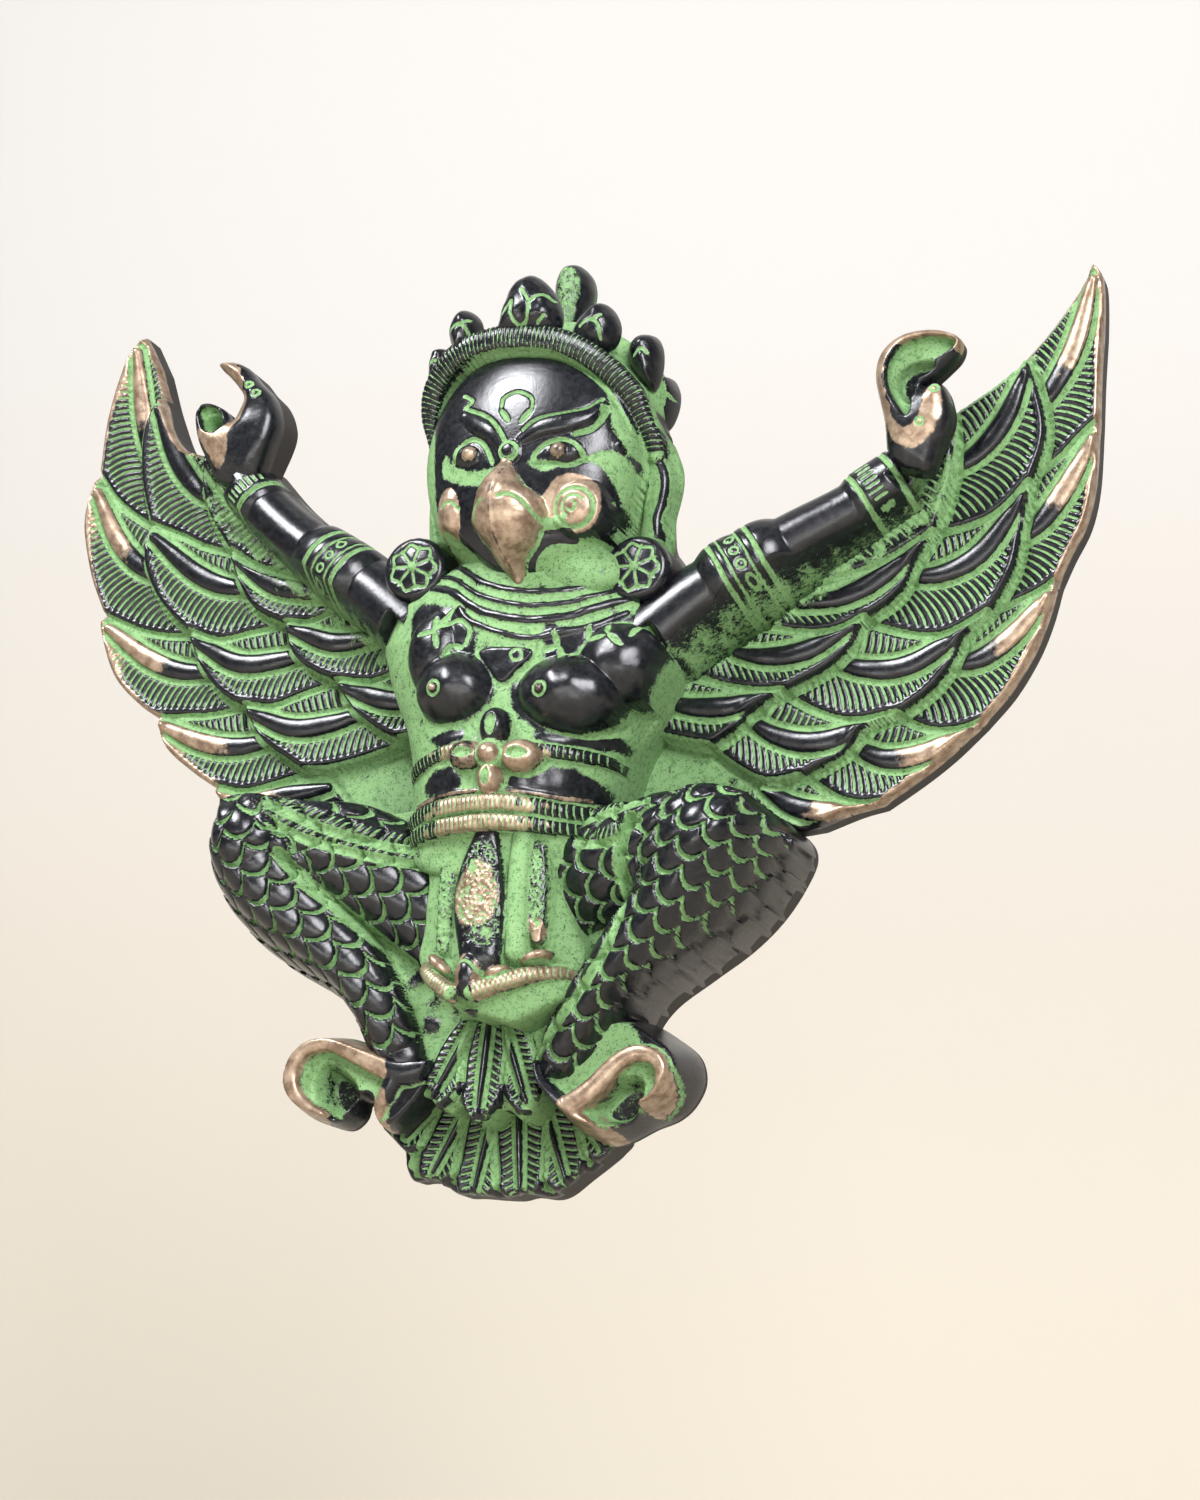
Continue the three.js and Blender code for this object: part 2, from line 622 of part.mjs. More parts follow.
function plaque() {
  const front = [
    ...wing(rightWing, 1), ...wing(leftWing, -1),
    ...torso(), ...band(-12.3, 3.1, 11, 9), ...band(-1.2, 1.2, 15, 3), ...buckle(), ...loincloth(),
    plate(lap, 19),
    dome(skull), ...beak(), ...foreheadMarks(), ...crown(), ...crownLeaves(),
    ...rightHand(), ...leftHand(), ...tail(),
  ];
  for (const side of [-1, 1]) {
    front.push(...face(side), ...sideOrnament(side), ...earring(side));
    front.push(...arm(side), ...leg(side), ...foot(side));
  }
  return inFrontOfWall(join(front).subtract(hollow()));
}

function meshOf(whole, name, material) {
  const { vertProperties, triVerts, numProp } = whole.getMesh();
  const position = new Float32Array((vertProperties.length / numProp) * 3);
  for (let i = 0; i < position.length / 3; i += 1) {
    for (let axis = 0; axis < 3; axis += 1) position[3 * i + axis] = vertProperties[numProp * i + axis];
  }
  const geometry = new THREE.BufferGeometry();
  geometry.setAttribute('position', new THREE.BufferAttribute(position, 3));
  geometry.setIndex(new THREE.BufferAttribute(new Uint32Array(triVerts), 1));
  geometry.computeVertexNormals();
  const mesh = new THREE.Mesh(geometry, material);
  mesh.name = name;
  return mesh;
}

// Brass with a green patina over black.
const patinatedBrass = new THREE.MeshStandardMaterial({ color: 0x4f7a45, roughness: 0.55, metalness: 0.35 });

// The relief stands up against the wall, facing -Y, with the origin at the hanging face.
const garuda = meshOf(plaque(), 'garuda', patinatedBrass);
garuda.rotation.x = Math.PI / 2;
garuda.position.z = -hangHeight * wide;

const root = new THREE.Group();
root.add(garuda);
export default root;
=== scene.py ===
# Looks of a cast brass Garuda wall plaque, built over its CAD part.
#
# Every form is a carved front over an outline, with walls down to its foot.
# Places are drawn in millimetres: x to the viewer's right and z up, both from the belt buckle,
# and p out from the wall. They are placed in the frame by the CAD part's own box.

import math

import bpy
import numpy as np
from mathutils import Matrix, Vector
from mathutils.geometry import delaunay_2d_cdt


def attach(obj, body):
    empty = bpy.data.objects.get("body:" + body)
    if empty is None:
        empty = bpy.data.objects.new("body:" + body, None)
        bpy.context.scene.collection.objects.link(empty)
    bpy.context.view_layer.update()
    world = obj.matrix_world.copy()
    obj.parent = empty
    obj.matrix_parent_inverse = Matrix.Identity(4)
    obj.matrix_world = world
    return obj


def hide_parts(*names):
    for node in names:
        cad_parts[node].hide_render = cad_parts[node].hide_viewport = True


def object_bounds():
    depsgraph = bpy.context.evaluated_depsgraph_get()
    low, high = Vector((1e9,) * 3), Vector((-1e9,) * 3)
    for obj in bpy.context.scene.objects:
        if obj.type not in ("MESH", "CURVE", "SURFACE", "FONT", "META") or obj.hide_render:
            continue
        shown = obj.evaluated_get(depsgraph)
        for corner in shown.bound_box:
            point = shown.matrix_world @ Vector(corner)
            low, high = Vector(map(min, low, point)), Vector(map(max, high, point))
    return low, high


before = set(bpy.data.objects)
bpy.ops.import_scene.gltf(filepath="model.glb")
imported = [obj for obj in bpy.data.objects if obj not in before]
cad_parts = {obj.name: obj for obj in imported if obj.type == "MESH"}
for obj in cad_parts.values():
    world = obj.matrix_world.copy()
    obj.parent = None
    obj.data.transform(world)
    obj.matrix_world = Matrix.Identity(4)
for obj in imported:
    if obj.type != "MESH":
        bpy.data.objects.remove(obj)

CAD_LOW, CAD_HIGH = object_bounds()

# Sizes that the places are drawn in, in millimetres
DRAWN_LEFT = -112.0        # the left wing's widest point
DRAWN_WIDTH = 220.0
DRAWN_TOP = 108.8          # top of the knob on the crown
DRAWN_DEPTH = 45.3         # front of the beak
HEAD_FOOT = 0.62           # the head's outline at the wall, as a share of its full outline
HEAD_MIDDLE = 62.0         # the height that the head draws in towards
HEAD_DEPTH = 20.0          # it has its full outline from here on
HEAD_START = (42, 52)      # the heights between which it starts to draw in
HEAD_HALF = (32, 42)       # the distances from the middle between which that ends

CELL = 0.31                # grid of the carving
FINE = 0.3                 # grid of the small forms
EDGE = 0.8                 # rounding of the edges
THINNEST = 0.2             # a front stays at least this far over its foot
SNAP = 0.35                # a place nearer to the outline than this share of a cell moves onto it
BACK_FINISH_AND_SHADE = (0.35, 0, 0, 0, 1)    # green, brass, barb, phase and painted shade on the back
STAIN_REACH = 1.5          # patina reaches this many half widths out of a cut

# Feathers
GROOVE = 0.95              # half the width of the groove between two feathers
GROOVE_DEPTH = 1.3
RIM = 6.5                  # the wing's edge over the wall
FEATHER_RISE = 1.3
ROW_RISE = 2.6
LIP = 0.9                  # rounding of a feather's free edge
BARB_PITCH = 1.45
BARB_DEPTH = 0.6


# Lines and distances

def smooth(low, high, value):
    """0 below low, 1 above high, and an even turn between them."""
    t = np.clip((value - low) / (high - low), 0, 1)
    return t * t * (3 - 2 * t)


def curve(points, steps=5, closed=False):
    """A smooth line through the points; any further values of a point go along with it."""
    points = np.asarray(points, float)
    if closed:
        ends = np.vstack([points[-1:], points, points[:2]])
    else:
        ends = np.vstack([2 * points[0] - points[1], points, 2 * points[-1] - points[-2]])
    t = np.linspace(0, 1, steps, endpoint=False)[:, None]
    parts = []
    for a, b, c, d in zip(ends, ends[1:], ends[2:], ends[3:]):
        parts.append(0.5 * (2 * b + (c - a) * t + (2 * a - 5 * b + 4 * c - d) * t ** 2
                            + (3 * b - a - 3 * c + d) * t ** 3))
    if not closed:
        parts.append(points[-1:])
    return np.vstack(parts)


def nearest(x, z, line, closed=False):
    """The distance to a line, the share of its length at its nearest point, the side that a place
    lies on (1 on the left of the line), and the nearest point."""
    line = np.asarray(line, float)[:, :2]
    if closed:
        line = np.vstack([line, line[:1]])
    steps = np.diff(line, axis=0)
    lengths = np.hypot(steps[:, 0], steps[:, 1])
    total = lengths.sum()
    best = np.full(x.shape, np.inf)
    share, side = np.zeros(x.shape), np.zeros(x.shape)
    foot_x, foot_z = np.zeros(x.shape), np.zeros(x.shape)
    start = 0.0
    for (ax, az), (sx, sz), length in zip(line, steps, lengths):
        if length < 1e-9:
            continue
        dx, dz = sx / length, sz / length
        t = np.clip((x - ax) * dx + (z - az) * dz, 0, length)
        px, pz = ax + t * dx, az + t * dz
        away = (x - px) ** 2 + (z - pz) ** 2
        closer = away < best
        best = np.where(closer, away, best)
        share = np.where(closer, (start + t) / total, share)
        side = np.where(closer, np.sign(dx * (z - az) - dz * (x - ax)), side)
        foot_x, foot_z = np.where(closer, px, foot_x), np.where(closer, pz, foot_z)
        start += length
    return np.sqrt(best), share, side, (foot_x, foot_z)


def within(x, z, outline):
    """How far inside a closed outline each place is (less than 0 outside it), and the nearest point."""
    away, _, _, foot = nearest(x, z, outline, closed=True)
    crossings = np.zeros(x.shape, bool)
    for (ax, az), (bx, bz) in zip(outline, np.roll(outline, -1, axis=0)):
        if az == bz:
            continue
        over = (az > z) != (bz > z)
        crossings ^= over & (x < (bx - ax) * (z - az) / (bz - az) + ax)
    return np.where(crossings, away, -away), foot


def measured(line):
    """The share of a line's length that each of its points is at, and its whole length."""
    steps = np.hypot(*np.diff(line[:, :2], axis=0).T)
    return np.concatenate([[0], np.cumsum(steps)]) / steps.sum(), steps.sum()


def normals_of(line):
    """The direction to the left of a line at each of its points."""
    steps = np.gradient(line[:, :2], axis=0)
    steps /= np.hypot(steps[:, 0], steps[:, 1])[:, None]
    return np.column_stack([-steps[:, 1], steps[:, 0]])


def polar(middle, reach, turn):
    """The place that lies at a distance and an angle from the middle."""
    return middle[0] + reach * math.cos(turn), middle[1] + reach * math.sin(turn)


def mirrored(points, side):
    """The points with x turned over where side is -1."""
    return [(side * point[0], *point[1:]) for point in points]


def ripple(x, z, size, seed):
    """An uneven field from -1 to 1 with bumps of about that size."""
    random = np.random.default_rng(seed)
    total = np.zeros(x.shape)
    waves = 7
    for _ in range(waves):
        turn, start = random.uniform(0, 2 * math.pi, 2)
        pace = random.uniform(0.7, 1.5) * 2 * math.pi / size
        total += np.sin(pace * (x * math.cos(turn) + z * math.sin(turn)) + start)
    return total / waves ** 0.5


# The carving

class Surface:
    """A front that is painted step by step over a grid of places: its height over the wall, how much
    of its finish is green patina or bare brass, from 0 to 1, and the cuts between a vane's barbs,
    as their strength and as a phase that grows by 1 from one cut to the next."""

    def __init__(self, x, z, cell):
        self.x, self.z, self.cell = x, z, cell
        self.low = (x.min(), z.min())
        self.h = np.zeros(x.shape)
        self.green = np.zeros(x.shape)
        self.brass = np.zeros(x.shape)
        self.barb = np.zeros(x.shape)
        self.phase = np.zeros(x.shape)

    def tint(self, at, share, green=None, brass=None):
        """Changes the finish in part, by each place's share."""
        if green is not None:
            self.green[at] = self.green[at] * (1 - share) + green * share
        if brass is not None:
            self.brass[at] = self.brass[at] * (1 - share) + brass * share

    def window(self, points, reach):
        """The part of the grid within reach of the points."""
        points = np.asarray(points, float)[:, :2]
        slices = []
        for axis in (1, 0):
            first = int((points[:, axis].min() - reach - self.low[axis]) / self.cell) - 1
            last = int((points[:, axis].max() + reach - self.low[axis]) / self.cell) + 3
            slices.append(slice(max(first, 0), max(last, 0)))
        return tuple(slices)

    def cover(self, at, height, where, green=0.0, brass=0.0):
        """Lays a new form over the places where it is higher."""
        new = (height > self.h[at]) & where
        self.h[at] = np.where(new, height, self.h[at])
        self.green[at] = np.where(new, green, self.green[at])
        self.brass[at] = np.where(new, brass, self.brass[at])
        self.barb[at] = np.where(new, 0, self.barb[at])

    def dome(self, middle, size, side, front, turn=0.0, power=0.5, **finish):
        at = self.window([middle], max(size))
        dx, dz = self.x[at] - middle[0], self.z[at] - middle[1]
        a = (dx * math.cos(turn) + dz * math.sin(turn)) / size[0]
        b = (dz * math.cos(turn) - dx * math.sin(turn)) / size[1]
        left = np.clip(1 - a * a - b * b, 0, 1)
        self.cover(at, side + (front - side) * left ** power, left > 0, **finish)

    def tube(self, stations, roundness=0.8, ribs=0, rib_depth=0.4, line=0.0, **finish):
        """A rounded bar through stations of (x, z, half width, crest), with green lines across it."""
        path = curve(stations)
        at = self.window(path, path[:, 2].max())
        away, share, _, _ = nearest(self.x[at], self.z[at], path)
        shares, _ = measured(path)
        half = np.interp(share, shares, path[:, 2])
        crest = np.interp(share, shares, path[:, 3])
        across = np.clip(away / half, 0, 1)
        height = crest - roundness * half * (1 - np.sqrt(1 - across ** 2))
        if not ribs:
            self.cover(at, height, away < half, **finish)
            return
        cut = 0.5 + 0.5 * np.cos(2 * math.pi * share * ribs)
        ribbed = height - rib_depth * cut ** 2
        lines = (away < half) & (ribbed > self.h[at])
        self.cover(at, ribbed, away < half, **finish)
        self.barb[at] = np.where(lines, line, self.barb[at])
        self.phase[at] = np.where(lines, share * ribs, self.phase[at])

    def groove(self, points, half, depth, pointed=False):
        """A cut along a line, with patina in it."""
        line = curve(points) if len(points) > 2 else np.asarray(points, float)
        at = self.window(line, half)
        away, share, _, _ = nearest(self.x[at], self.z[at], line)
        width = half * (np.sqrt(np.clip(4 * share * (1 - share), 0.02, 1)) if pointed else 1)
        self.h[at] -= depth * np.clip(1 - (away / width) ** 2, 0, 1)
        self.green[at] = np.maximum(self.green[at], np.clip(STAIN_REACH - away / width, 0, 1))

    def ridge(self, points, half, height, green=0.0, brass=0.0):
        """A low raised line with its own finish."""
        line = curve(points)
        at = self.window(line, half + 0.5)
        away = nearest(self.x[at], self.z[at], line)[0]
        self.h[at] += height * np.clip(1 - (away / (half + 0.4)) ** 2, 0, 1)
        self.tint(at, smooth(half + 0.25, half - 0.15, away), green, brass)

    def crackle(self, outline, size, depth, green):
        """A net of cuts between small uneven cells, inside an outline."""
        shape = curve(outline, closed=True)
        at = self.window(shape, 1)
        x, z = self.x[at], self.z[at]
        inside, _ = within(x, z, shape)
        low, high = shape.min(0), shape.max(0)
        count = int(np.prod(high - low) / size ** 2)
        middles = low + (high - low) * np.random.default_rng(5).random((count, 2))
        away = np.hypot(x[..., None] - middles[:, 0], z[..., None] - middles[:, 1])
        first, second = np.moveaxis(np.partition(away, 1, axis=-1)[..., :2], -1, 0)
        cut = smooth(0.34 * size, 0.06 * size, second - first) * smooth(0, 0.8, inside)
        self.h[at] -= depth * cut
        self.green[at] = np.maximum(self.green[at], green * cut)

    def ring(self, middle, radius, half, depth, start=0.0, turns=1.0):
        """A cut round a circle, or round a part of one from an angle on."""
        angles = 2 * math.pi * (start + turns * np.linspace(0, 1, 25))
        self.groove([polar(middle, radius, angle) for angle in angles], half, depth)

    def sink(self, outline, depth, soft=1.0, green=1.0, brass=None):
        """Lowers what lies inside an outline, and fills it with patina."""
        shape = curve(outline, closed=True)
        at = self.window(shape, soft)
        inside, _ = within(self.x[at], self.z[at], shape)
        share = smooth(-soft / 2, soft / 2, inside)
        self.h[at] -= depth * share
        self.tint(at, share, green, brass)

    def settle(self, reach=1.1, depth=0.16, strength=1.0):
        """Lets patina gather wherever the carving is lower than what lies round it."""
        steps = max(1, int(round(reach / self.cell)))
        low, high = self.h.min(), self.h.max()
        level = np.clip(self.h, low, high)
        for axis in (0, 1):
            padded = np.pad(level, [(steps, steps) if axis == a else (0, 0) for a in (0, 1)], mode="edge")
            total = np.cumsum(padded, axis=axis)
            total = np.insert(total, 0, 0, axis=axis)
            width = 2 * steps + 1
            size = level.shape[axis]
            ahead = np.take(total, range(width, width + size), axis=axis)
            level = (ahead - np.take(total, range(size), axis=axis)) / width
        hollow = np.clip((level - self.h) / depth, -1, 2)
        self.green = np.maximum(self.green, strength * smooth(0.4, 1.6, hollow))


# Forms and their meshes

def hold(x, z, p):
    """Leaves a form's places as they are."""
    return x, z, p


def draw_in(x, z, p):
    """The head stands free of the wall: behind its face it draws in towards its middle."""
    above = smooth(*HEAD_START, z)
    beside = 1 - smooth(*HEAD_HALF, np.abs(x))
    share = 1 - (1 - HEAD_FOOT) * (1 - smooth(0, HEAD_DEPTH, p)) * above * beside
    return x * share, HEAD_MIDDLE + (z - HEAD_MIDDLE) * share, p


def hollow_depth(x, z, hollows):
    """How deep the back is hollowed out at each place."""
    depth = np.zeros(x.shape)
    for middle, size, side, front in hollows:
        left = np.clip(1 - ((x - middle[0]) / size[0]) ** 2 - ((z - middle[1]) / size[1]) ** 2, 0, 1)
        depth = np.maximum(depth, smooth(0, 0.15, left) * side + (front - side) * np.sqrt(left))
    return depth


def cap(points, edges, foot, hollows):
    """The flat back of a form, between its edges, with its hollows."""
    spots = []
    for middle, size, _, _ in hollows:
        for ring in np.linspace(0.05, 1, 14):
            for turn in np.linspace(0, 2 * math.pi, 40, endpoint=False):
                x = middle[0] + ring * size[0] * math.cos(turn)
                z = middle[1] + ring * size[1] * math.sin(turn)
                spots.append((x, z))
    flat = [Vector((float(x), float(z))) for x, z in list(points) + spots]
    made = delaunay_2d_cdt(flat, edges, [], 1, 1e-5)
    places = np.array([(v.x, v.y) for v in made[0]])
    depth = foot + hollow_depth(places[:, 0], places[:, 1], hollows)
    return places, depth, [face[::-1] for face in made[2]]


def carved_front(outline, paint, foot, cell, edge):
    """The painted grid inside an outline: its points, their finish and its quads."""
    margin = 1.5 * cell
    lows, highs = outline.min(0) - margin, outline.max(0) + margin
    x, z = np.meshgrid(np.arange(lows[0], highs[0], cell), np.arange(lows[1], highs[1], cell))
    inside, (foot_x, foot_z) = within(x, z, outline)
    core = inside > SNAP * cell
    kept = core[:-1, :-1] | core[1:, :-1] | core[:-1, 1:] | core[1:, 1:]
    x, z = np.where(core, x, foot_x), np.where(core, z, foot_z)
    inside = np.where(core, inside, 0)
    surface = Surface(x, z, cell)
    paint(surface, inside)
    round_off = edge - np.sqrt(np.clip(edge ** 2 - (edge - np.minimum(inside, edge)) ** 2, 0, None))
    height = np.maximum(surface.h - round_off, foot + THINNEST)

    used = np.zeros(x.shape, bool)
    for rows in (slice(None, -1), slice(1, None)):
        for columns in (slice(None, -1), slice(1, None)):
            used[rows, columns] |= kept
    index = np.full(x.shape, -1)
    index[used] = np.arange(used.sum())
    corners = (index[:-1, :-1], index[:-1, 1:], index[1:, 1:], index[1:, :-1])
    quads = np.stack([corner[kept] for corner in corners], 1)
    front = np.stack([x[used], z[used], height[used]], 1)
    layers = (surface.green, surface.brass, surface.barb, surface.phase, np.zeros(x.shape))
    return front, np.stack([layer[used] for layer in layers], 1), quads


def border_of(quads):
    """The edges that only one quad has."""
    sides = np.concatenate([quads[:, [i, (i + 1) % 4]] for i in range(4)])
    _, first, counts = np.unique(np.sort(sides, 1), axis=0, return_index=True, return_counts=True)
    return sides[first[counts == 1]]


def form(outline, paint, foot=0.0, cell=CELL, edge=EDGE, move=hold, hollows=(), wall=(0.0, 0.0), rings=4):
    """A solid with a painted front over an outline, walls down to its foot and a flat back. The wall gives
    how green and how bare the walls are; the rest of each wall, and the whole back, is painted shade in
    dark brown."""
    front, finish, quads = carved_front(outline, paint, foot, cell, edge)
    border = border_of(quads)
    rim = np.unique(border)
    place = np.full(len(front), -1)
    place[rim] = np.arange(len(rim))
    faces = [tuple(quad) for quad in quads.tolist()]
    points, finishes = [front], [finish]
    # What is not green on the walls is painted shade: a rough dark brown.
    wall_finish_and_shade = (*wall, 0, 0, 1 - wall[0])
    above = rim
    start = len(front)
    for ring in range(1, rings + 1):
        level = front[rim].copy()
        level[:, 2] += (foot - level[:, 2]) * ring / rings
        points.append(level)
        finishes.append(np.tile(wall_finish_and_shade, (len(rim), 1)))
        below = start + np.arange(len(rim))
        for a, b in border.tolist():
            i, j = place[a], place[b]
            faces.append((int(above[j]), int(above[i]), int(below[i]), int(below[j])))
        above = below
        start += len(rim)
    low = front[rim][:, :2]
    links = [(int(place[a]), int(place[b])) for a, b in border]
    back, depth, triangles = cap(low, links, foot, hollows)
    points.append(np.column_stack([back, depth]))
    finishes.append(np.tile(BACK_FINISH_AND_SHADE, (len(back), 1)))
    faces.extend(tuple(start + i for i in triangle) for triangle in triangles)
    points = np.column_stack(move(*np.vstack(points).T))
    return points, np.vstack(finishes), faces


def placed(points):
    """Drawn places in the frame, in metres."""
    unit = (CAD_HIGH.x - CAD_LOW.x) / DRAWN_WIDTH
    deep = (CAD_HIGH.y - CAD_LOW.y) / DRAWN_DEPTH
    x = CAD_LOW.x + (points[:, 0] - DRAWN_LEFT) * unit
    z = CAD_HIGH.z + (points[:, 1] - DRAWN_TOP) * unit
    y = CAD_HIGH.y - points[:, 2] * deep
    return np.column_stack([x, y, z])


def piece(name, forms, material):
    """One object from several forms."""
    start = 0
    points, finishes, faces = [], [], []
    for form_points, form_finish, form_faces in forms:
        points.append(placed(form_points))
        finishes.append(form_finish)
        faces.extend(tuple(start + i for i in face) for face in form_faces)
        start += len(form_points)
    mesh = bpy.data.meshes.new(name)
    mesh.from_pydata(np.vstack(points), [], faces)
    mesh.validate()
    values = np.vstack(finishes).astype(np.float32)
    for column, attribute in enumerate(("green", "brass", "barb", "phase", "side_shade")):
        layer = mesh.attributes.new(attribute, "FLOAT", "POINT")
        layer.data.foreach_set("value", values[:, column].copy())
    mesh.shade_smooth()
    mesh.materials.append(material)
    made = bpy.data.objects.new(name, mesh)
    bpy.context.scene.collection.objects.link(made)
    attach(made, "root")
    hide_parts("garuda")
    return made


# The wings
# A row of feathers is given by the cuts between its feathers, each from root to tip, and by the
# free edge between one cut's tip and the next one's. x is taken outwards.

RIGHT_WING = {
    "lead": [(22, 26), (33, 40), (60, 60), (78.5, 75), (84, 79), (88, 82.5)],
    "primaries": (
        [[(88, 82.5), (95.5, 90.5), (101.5, 99), (105, 106.5)],
         [(93, 60), (100.5, 66), (104.5, 70.5), (107.8, 73.5)],
         [(86, 34), (93.5, 37), (97.5, 39), (101.5, 41.5)],
         [(70, 15.5), (78, 12), (84, 12), (88.5, 13.5)],
         [(52, 4.5), (59, -0.5), (64, -2.5), (70, -2.5)],
         [(38, -3), (45, -6.5), (51, -8), (58, -7)]],
        [[(106.9, 103.5), (107.6, 94.5), (107.6, 84)],
         [(107.7, 61.5), (106.4, 53.5), (103.6, 47)],
         [(100, 34.5), (97.6, 27.5), (93.6, 20)],
         [(82.7, 7.5), (76.8, 2.5)],
         [(65, -4)]],
    ),
    "secondaries": (
        [[(76, 73), (84, 78), (89.5, 82), (93.5, 86)],
         [(76, 50), (85, 52), (90.5, 55), (95.5, 60.5)],
         [(63, 33.5), (72.5, 30.5), (80.5, 30), (89, 34.5)],
         [(48, 19.5), (56, 15), (63.5, 13), (72.5, 14.5)],
         [(34, 8.5), (41.5, 3.5), (47.5, 1), (54, 2)]],
        [[(96.3, 76), (97.1, 69)],
         [(93.7, 51), (92.4, 43)],
         [(84.2, 30.2), (81.7, 24.7), (77.7, 19.2)],
         [(65.8, 12.5), (62.4, 7.7)]],
    ),
    "coverts": (
        [[(58, 56), (68, 66), (74, 70), (80, 74)],
         [(56, 40), (66, 43), (72, 46), (78, 50)],
         [(46, 31), (54, 30), (60, 30.5), (65.5, 33)],
         [(32, 21), (38, 19.5), (44, 18.5), (50, 18.5)],
         [(18, 12), (24, 10), (30, 8.5), (36, 7.5)]],
        [[(80, 62.5)],
         [(74, 44.5), (71.3, 38.3)],
         [(60.3, 25.4)],
         [(44, 15), (40, 11)]],
    ),
}

LEFT_WING = {
    "lead": [(22, 26), (36, 36), (47, 46.5), (58, 55), (70, 65), (79.5, 71.4), (88.5, 73.5)],
    "primaries": (
        [[(91.5, 77), (94, 82.5), (98.5, 93.5), (103, 101)],
         [(93, 55.5), (101, 60), (106, 64), (110, 69)],
         [(79, 32), (89.5, 32.5), (96.5, 34), (104, 37)],
         [(64, 17.5), (75, 15), (82, 14.5), (88, 14.5)],
         [(49, 3.5), (59.5, 0), (66, -1.5), (72.5, -0.5)],
         [(42, -4), (50, -4), (58, -5.5), (66, -8)]],
        [[(106.5, 96), (109.5, 83)],
         [(111.6, 62.5), (111.6, 56.5), (108.5, 46)],
         [(104, 33.5), (99.5, 23.5), (93, 17.5)],
         [(85, 8), (78.5, 3)],
         [(69.5, -5)]],
    ),
    "secondaries": (
        [[(83, 71), (87, 75), (91.5, 80), (95.5, 86)],
         [(71, 49), (80, 51), (86, 53.5), (94, 56.5)],
         [(56, 34.5), (67, 32), (74.5, 30.5), (81.5, 32.5)],
         [(44, 22), (53.5, 18.5), (60, 16), (66.5, 16.5)],
         [(28, 9), (38.5, 5), (46, 3), (51, 2.7)]],
        [[(97.6, 78), (96.7, 67)],
         [(93.4, 48.7), (88.6, 39.7)],
         [(77, 25.3), (71.7, 19.8)],
         [(61.2, 10), (55, 6)]],
    ),
    "coverts": (
        [[(66, 62), (72, 68), (77, 70.2), (81.5, 71.8)],
         [(52, 42), (60, 44), (67, 46), (73, 49.5)],
         [(40, 36), (47.5, 35.5), (52, 33.5), (58, 33.5)],
         [(28, 24.5), (33, 22), (38, 20.5), (45, 21)],
         [(16, 12), (20, 10.5), (25, 9.5), (29.5, 8.8)]],
        [[(79.2, 60.7)],
         [(69.1, 42.8), (65, 37.3)],
         [(53.8, 26.4)],
         [(40, 15.7), (34, 11.5)]],
    ),
}

QUILL_SHARES = (0.47, 0.45, 0.34, 0.13)    # the quill's way across the feather, from root to tip
RIM_WAY = 1.6              # the smooth rim at a feather's tip is narrower than beside it by this
BARB_CURL = 0.05           # how much the barbs bend towards the tip


def barbs(surface, at, along, away, lean, curl, where, strength):
    """Fine cuts that leave the quill slantwise towards the tip."""
    phase = (along - lean * away + curl * away ** 2) / BARB_PITCH
    wave = 0.5 + 0.5 * np.cos(2 * math.pi * phase)
    surface.h[at] -= np.where(where, BARB_DEPTH * strength * wave ** 2, 0)
    surface.barb[at] = np.where(where, strength, surface.barb[at])
    surface.phase[at] = np.where(where, phase, surface.phase[at])


